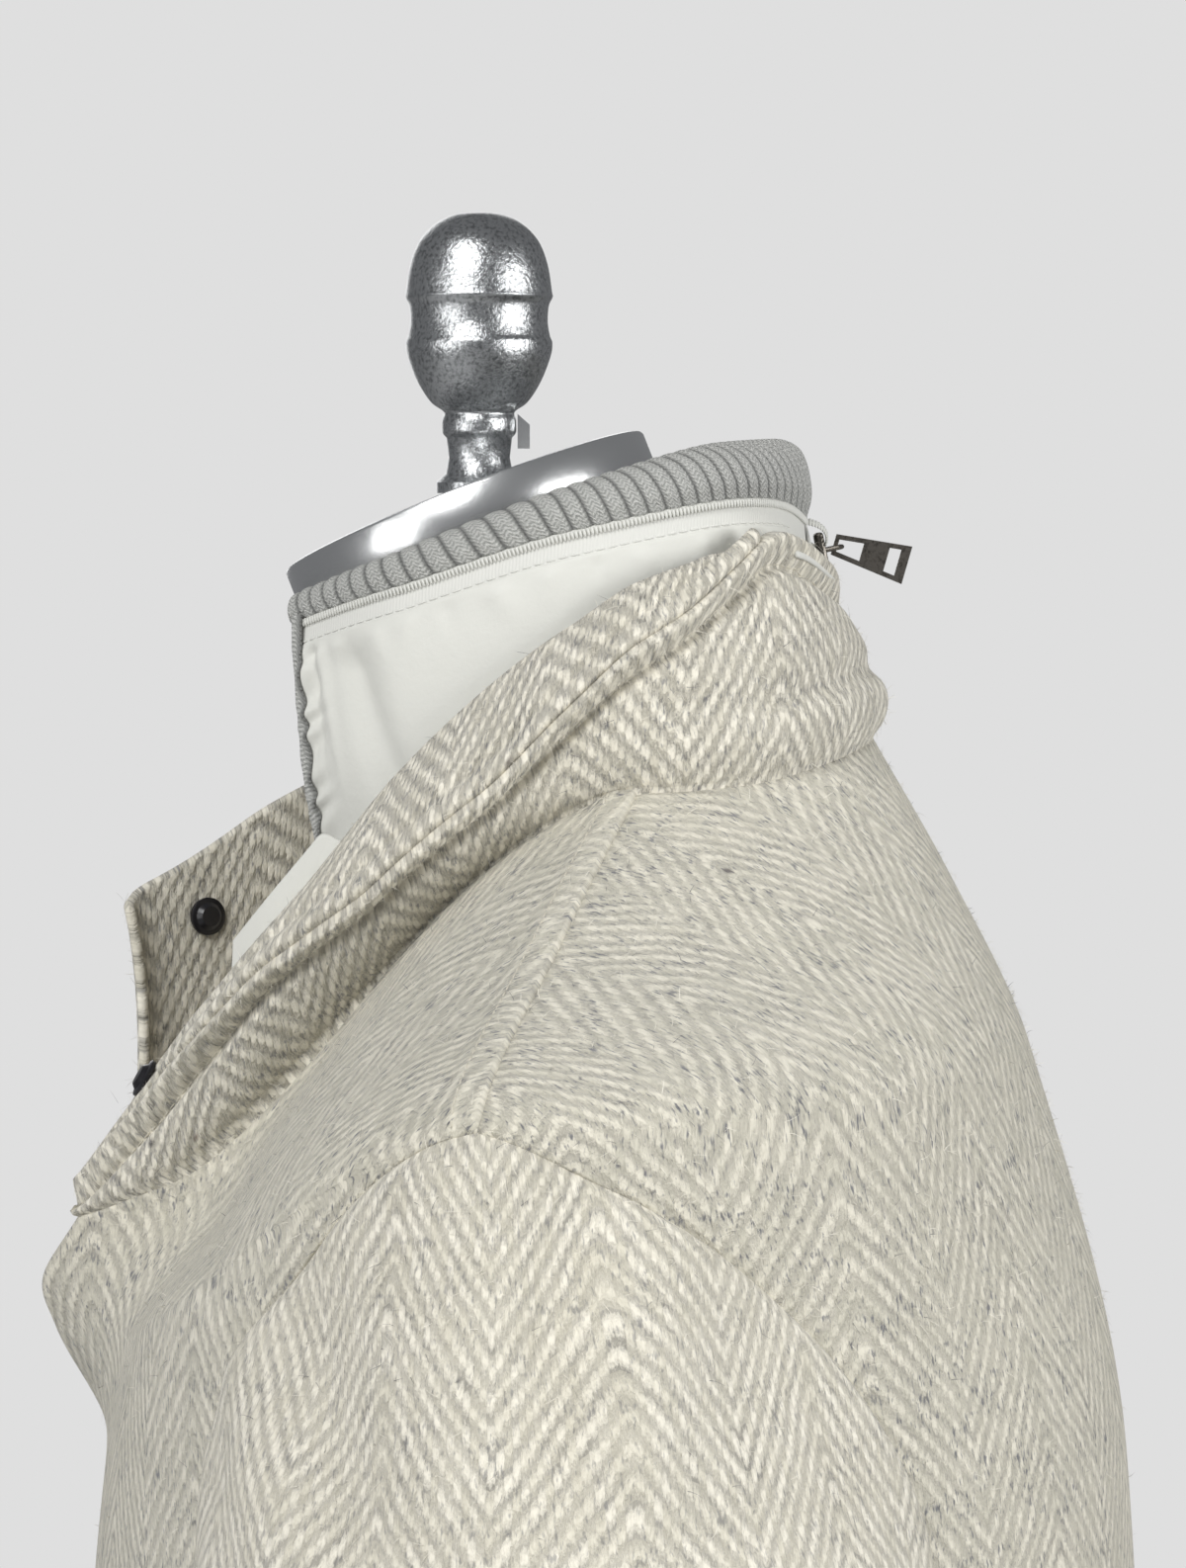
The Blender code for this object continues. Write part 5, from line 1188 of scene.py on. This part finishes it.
# %% Finishes of the hard pieces
def metal(name, colour, roughness, grain, depth, dark=None):
    """A bare metal whose surface is broken by noise of one grain size, with darker pits if dark is given."""
    finish, tree, shader = new_finish(name, Base_Color=colour, Metallic=1.0, Roughness=roughness)
    place = add(tree, "TexCoord", out="Object")
    noise = add(tree, "TexNoise", {"Vector": place, "Scale": grain, "Detail": 4.0, "Roughness": 0.6})
    bump = add(tree, "Bump", {"Strength": 0.7, "Distance": depth, "Height": noise})
    tree.links.new(bump, shader.inputs["Normal"])
    if dark:
        pits = add(tree, "MapRange", {"Value": noise, 1: 0.36, 2: 0.52})
        mixed = add(tree, "Mix", {0: pits, 6: dark, 7: colour}, out=2, data_type="RGBA")
        tree.links.new(mixed, shader.inputs["Base Color"])
    return finish


# a pitted casting with broken highlights, clear plating with softly wavy reflections, worn dark satin,
# and deep black with a clear gloss
CAST_SILVER = metal("cast_silver_metal", "#bfc1c2", 0.26, 900.0, 0.0003, "#8d8f90")
PLATED = metal("plated_metal", "#dcdddd", 0.27, 160.0, 0.00012)
GUNMETAL = metal("gunmetal", "#7d7871", 0.36, 900.0, 0.00006, "#5c5852")
HORN, _, _ = new_finish("black_horn", Base_Color="#17161a", Roughness=0.28)


def linen_cover():
    """Tight unbleached linen on the form: matt, with slubs both ways."""
    finish, tree, shader = new_finish("form_linen", Roughness=0.9, Specular_IOR_Level=0.2)
    place = add(tree, "TexCoord", out="Object")
    slub = add(tree, "TexNoise", {"Vector": place, "Scale": 700.0, "Detail": 3.0})
    mixed = add(tree, "Mix", {0: slub, 6: "#c2bbab", 7: "#e2dccd"}, out=2, data_type="RGBA")
    tree.links.new(mixed, shader.inputs["Base Color"])
    bump = add(tree, "Bump", {"Strength": 0.5, "Distance": 0.0003, "Height": slub})
    tree.links.new(bump, shader.inputs["Normal"])
    return finish


LINEN = linen_cover()
print("finishes:", CAST_SILVER.name, PLATED.name, GUNMETAL.name, HORN.name, LINEN.name)

# %% [markdown]
# ## Turned pieces
#
# The finial, cap, pole, foot, snaps and buttons are all made on a lathe or pressed round, so one function
# turns a profile about an axis. The profile runs from the bottom up, so the faces look outward.

# %% A lathe

def put_rings(name, rings, finish, node, capped=(True, True), sharp_deg=None):
    """Rings of points, from the bottom up, into a smooth mesh with flat caps and sharp edges."""
    ids = np.arange(rings[..., 0].size).reshape(rings.shape[:2])
    faces = ring_quads(ids).tolist()
    faces += [cap.tolist() for cap, wanted in zip((ids[0][::-1], ids[-1]), capped) if wanted]
    mesh = bpy.data.meshes.new(name)
    mesh.from_pydata(rings.reshape(-1, 3).tolist(), [], faces)
    mesh.shade_smooth()
    if sharp_deg:
        mesh.set_sharp_from_angle(angle=math.radians(sharp_deg))
    mesh.materials.append(finish)
    piece = bpy.data.objects.new(name, mesh)
    bpy.context.scene.collection.objects.link(piece)
    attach(piece, "coat")
    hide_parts(node)
    print(f"{name}: {len(faces)} faces")


def turn_solid(name, profile, sides, finish, node, place=Matrix()):
    """Each profile point (radius, height) goes round a circle. Radius 0 at an end closes it with one face."""
    profile = np.array(profile, float)
    angle = np.arange(sides) * 2 * math.pi / sides
    ring = np.stack([np.cos(angle), np.sin(angle)], -1)
    middle = profile[profile[:, 0] > 1e-6]
    heights = np.broadcast_to(middle[:, None, 1:], (len(middle), sides, 1))
    points = np.concatenate([middle[:, None, :1] * ring[None], heights], -1)
    turn = np.array(place)
    capped = [profile[end, 0] <= 1e-6 for end in (0, -1)]
    put_rings(name, points @ turn[:3, :3].T + turn[:3, 3], finish, node, capped, sharp_deg=38)


def standing(point, normal):
    """A placing whose Z axis is the normal."""
    turn = Vector((0, 0, 1)).rotation_difference(Vector(normal)).to_matrix().to_4x4()
    return Matrix.Translation(Vector(point)) @ turn


# %% The stand
NECK_Y, CAP_TILT, CAP_ROLL, CAP_Z = -0.035, math.radians(21.5), math.radians(-4), 1.5265
FINIAL_BULB = (
    (0.0092, 1.5555), (0.0104, 1.5572), (0.0104, 1.5605), (0.0100, 1.5628), (0.0136, 1.5655),
    (0.0172, 1.5710), (0.0200, 1.5780), (0.0206, 1.5820), (0.0199, 1.5842), (0.0193, 1.5880),
    (0.0196, 1.5925), (0.0207, 1.5950), (0.0205, 1.5965), (0.0193, 1.6040), (0.0168, 1.6105),
    (0.0125, 1.6152), (0.0070, 1.6180), (0.0004, 1.6187),
)
FINIAL_STEM = ((0.0, 1.5400), (0.0120, 1.5400), (0.0120, 1.5430), (0.0094, 1.5455), (0.0086, 1.5500))
FINIAL_TOP = ((0, 1.6188),)
finial_line = np.concatenate([FINIAL_STEM, through(np.array(FINIAL_BULB), 120), FINIAL_TOP])
turn_solid("cast_finial", finial_line, 96, CAST_SILVER, "finial", Matrix.Translation((0, NECK_Y, 0)))
CAP_LINE = (
    (0.0, 0.0), (0.0530, 0.0), (0.0538, 0.0003), (0.0540, 0.0010), (0.0540, 0.0110), (0.0536, 0.0117),
    (0.0528, 0.0120), (0.0520, 0.0117), (0.0515, 0.0110), (0.0498, 0.0078), (0.0490, 0.0075),
    (0.0, 0.0075),
)
cap_turn = Matrix.Rotation(CAP_TILT, 4, "X") @ Matrix.Rotation(CAP_ROLL, 4, "Y")
cap_place = Matrix.Translation((0, NECK_Y, CAP_Z)) @ cap_turn
turn_solid("plated_cap", CAP_LINE, 160, PLATED, "neck_cap", cap_place)
POLE_LINE = (
    (0, 0.0144), (0.0320, 0.0144), (0.0280, 0.0260), (0.0180, 0.0380), (0.0125, 0.0440),
    (0.0125, 0.7596), (0, 0.7596),
)
FOOT_LINE = (
    (0, 0), (0.190, 0), (0.190, 0.0110), (0.1891, 0.0131), (0.1870, 0.0140), (0, 0.0140),
)
turn_solid("stand_pole", POLE_LINE, 64, PLATED, "pole")
turn_solid("stand_foot", FOOT_LINE, 160, PLATED, "base_plate")

# %% Buttons and snaps
SNAP_LINE = (
    (0, 0), (0.0055, 0), (0.0055, 0.0010), (0.0052, 0.0012), (0.0041, 0.0014), (0.0034, 0.0022),
    (0.0029, 0.0027), (0.0015, 0.0028), (0, 0.0028),
)
BUTTON_LINE = (
    (0, 0), (0.0126, 0), (0.0138, 0.0012), (0.0140, 0.0023), (0.0136, 0.0036), (0.0128, 0.0043),
    (0.0115, 0.0045), (0.0105, 0.0042), (0.0086, 0.0029), (0.0075, 0.0027), (0, 0.0027),
)
snap_face, _ = facing_grid(np.array([0.030, 0.038, 0.046]), np.linspace(0, 1, 6))
snap_way = normals_of(snap_face)[3, 1]
turn_solid("left_snap", SNAP_LINE, 48, HORN, "snap_left",
           standing(snap_face[3, 1] - snap_way * 0.0002, snap_way))
snap_face = collar_grid(np.array([0.933, 0.945, 0.957]), [0.72, 0.78, 0.84])[0]
snap_way = -normals_of(snap_face)[1, 1]
turn_solid("right_snap", SNAP_LINE, 48, HORN, "snap_right",
           standing(snap_face[1, 1] + snap_way * (CLOTH + 0.0005), snap_way))
for number, level in enumerate((1.205, 1.060, 0.915), 1):
    at = np.array([-math.pi / 2]), np.array([level]), 1
    point, normal = coat_point(*at)[0], coat_normal(*at)[0]
    turn_solid(f"horn_button_{number}", BUTTON_LINE, 64, HORN, f"button_{number}",
               standing(point + normal * 0.0006, normal))

# %% The form's body
FormRing = namedtuple("FormRing", "level half_width front_y back_y front_z back_z side_y droop")
FORM_LOW = tuple(map(FormRing._make, (
    (0.760, 0.150, -0.092, 0.104, 0.760, 0.760, 0.004, 2),
    (0.860, 0.172, -0.106, 0.116, 0.860, 0.860, 0.004, 2),
    (1.040, 0.148, -0.092, 0.098, 1.040, 1.040, 0.004, 2),
    (1.200, 0.176, -0.116, 0.120, 1.200, 1.200, 0.0, 2),
    (1.290, 0.186, -0.106, 0.118, 1.290, 1.295, -0.012, 2),
)))
FORM_NECK = tuple(map(FormRing._make, (
    (1.446, 0.056, -0.070, 0.032, 1.408, 1.455, -0.026, 1),
    (1.492, 0.046, -0.073, 0.010, 1.476, 1.507, -0.035, 1),
    (1.5262, 0.047, -0.078, 0.010, 1.5092, 1.5438, -0.035, 1),
)))


FORM_GAP = 0.0009         # from the cloth's inside to the form, along the shoulder's ridge
FORM_DEPTH = 0.66         # of the coat's depth at the shoulders
FORM_SLOPE = 0.85         # of the coat's droop there


def form_ring(ring, turns):
    """An ellipse whose front and back halves have their own depth and height."""
    c, s = np.cos(turns), np.sin(turns)
    depth = np.where(s < 0, ring.side_y - ring.front_y, ring.back_y - ring.side_y)
    middle_z = np.where(s < 0, ring.front_z, ring.back_z)
    z = ring.level + (middle_z - ring.level) * np.abs(s) ** ring.droop
    return np.stack([ring.half_width * c, ring.side_y + depth * s, z], -1)


def shoulder_ring(level):
    """A ring under the coat's shoulders that touches the cloth only along its ridge."""
    at = np.array([0.0])
    x, side_y, z = coat_point(at, level)[0] - coat_normal(at, level)[0] * (CLOTH + FORM_GAP)
    front_y, back_y, front_z, back_z = (float(smooth(COAT_RINGS, "level", n, level))
                                        for n in ("front_y", "back_y", "front_z", "back_z"))
    return FormRing(z, x, side_y + (front_y - side_y) * FORM_DEPTH, side_y + (back_y - side_y) * FORM_DEPTH,
                    z + (front_z - level) * FORM_SLOPE, z + (back_z - level) * FORM_SLOPE,
                    side_y, FRONT_DROOP)


def make_bust():
    """Curves through the rings of the trunk and the neck, with the shoulder rings between them."""
    turns = np.arange(112) * 2 * math.pi / 112
    rings = [*FORM_LOW, *(shoulder_ring(l) for l in (1.385, 1.40375, 1.4225, 1.44125)), *FORM_NECK]
    rows = np.array([form_ring(r, turns) for r in rings])
    grid = np.concatenate([through(rows[:5], 60), rows[5:9], through(rows[9:], 24)])
    put_rings("linen_bust", grid, LINEN, "bust")


make_bust()

# %% Better finishes on the slider, its pull and the finial's lever
for node_name, finish in (("zip_slider", GUNMETAL), ("zip_pull", GUNMETAL), ("finial_lever", PLATED)):
    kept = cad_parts[node_name]
    for number in range(max(1, len(kept.material_slots))):
        if kept.material_slots:
            kept.material_slots[number].material = finish
        else:
            kept.data.materials.append(finish)
    rounding = kept.modifiers.new("worn_edges", "BEVEL")
    rounding.width, rounding.segments, rounding.limit_method = 0.00025, 2, "ANGLE"
    print(f"{node_name}: {finish.name}")

# %% [markdown]
# ## Light and camera
#
# The photograph is a studio shot on pale grey with broad soft light from above and the camera's left, and a
# gentle fill from the right, so the weave shows but no shadow is hard. The camera looks straight at the
# shoulder through a long lens, which keeps the proportions flat.

# %% Floor, lights and camera
floor_mesh = bpy.data.meshes.new("floor")
floor_mesh.from_pydata([(-5, -5, 0), (5, -5, 0), (5, 5, 0), (-5, 5, 0)], [], [(0, 1, 2, 3)])
PAPER, _, _ = new_finish("studio_paper", Base_Color="#dedede", Roughness=0.9)
floor_mesh.materials.append(PAPER)
floor = bpy.data.objects.new("floor", floor_mesh)
bpy.context.scene.collection.objects.link(floor)

world = bpy.data.worlds.new("studio")
bpy.context.scene.world = world
world.use_nodes = True
sky = world.node_tree
seen = add(sky, "LightPath", out="Is Camera Ray")
backdrop = add(sky, "Mix", {0: seen, 6: "#7d7e80", 7: "#dfdfdf"}, out=2, data_type="RGBA")
sky.links.new(backdrop, sky.nodes["Background"].inputs["Color"])
bpy.context.scene.view_settings.view_transform = "Standard"


def area_light(name, place, target, size, watts):
    """A square lamp that faces its target."""
    lamp = bpy.data.lights.new(name, "AREA")
    lamp.size, lamp.energy = size, watts
    made = bpy.data.objects.new(name, lamp)
    made.location = place
    made.rotation_euler = (Vector(target) - Vector(place)).to_track_quat("-Z", "Y").to_euler()
    bpy.context.scene.collection.objects.link(made)
    print(f"{name}: {watts} W")


area_light("key", (1.9, -0.9, 3.0), (0.1, 0, 1.42), 1.2, 43)
area_light("side", (1.2, 2.1, 1.7), (0.1, 0, 1.35), 1.4, 42)
area_light("front", (1.7, -1.9, 1.5), (0.1, 0, 1.35), 1.2, 15)
area_light("card", (-1.6, -0.25, 1.86), (0, -0.03, 1.53), 0.8, 3.5)

lens = bpy.data.cameras.new("camera")
lens.lens, lens.sensor_width = 122.0, 36.0
camera = bpy.data.objects.new("camera", lens)
LOOK_AT, RISE = Vector((0, -0.003, 1.458)), math.radians(3)
camera.location = LOOK_AT + 1.5 * Vector((math.cos(RISE), 0, math.sin(RISE)))
camera.rotation_euler = (LOOK_AT - camera.location).to_track_quat("-Z", "Y").to_euler()
bpy.context.scene.collection.objects.link(camera)
bpy.context.scene.camera = camera
print("camera: 122 mm, 1.5 m away")
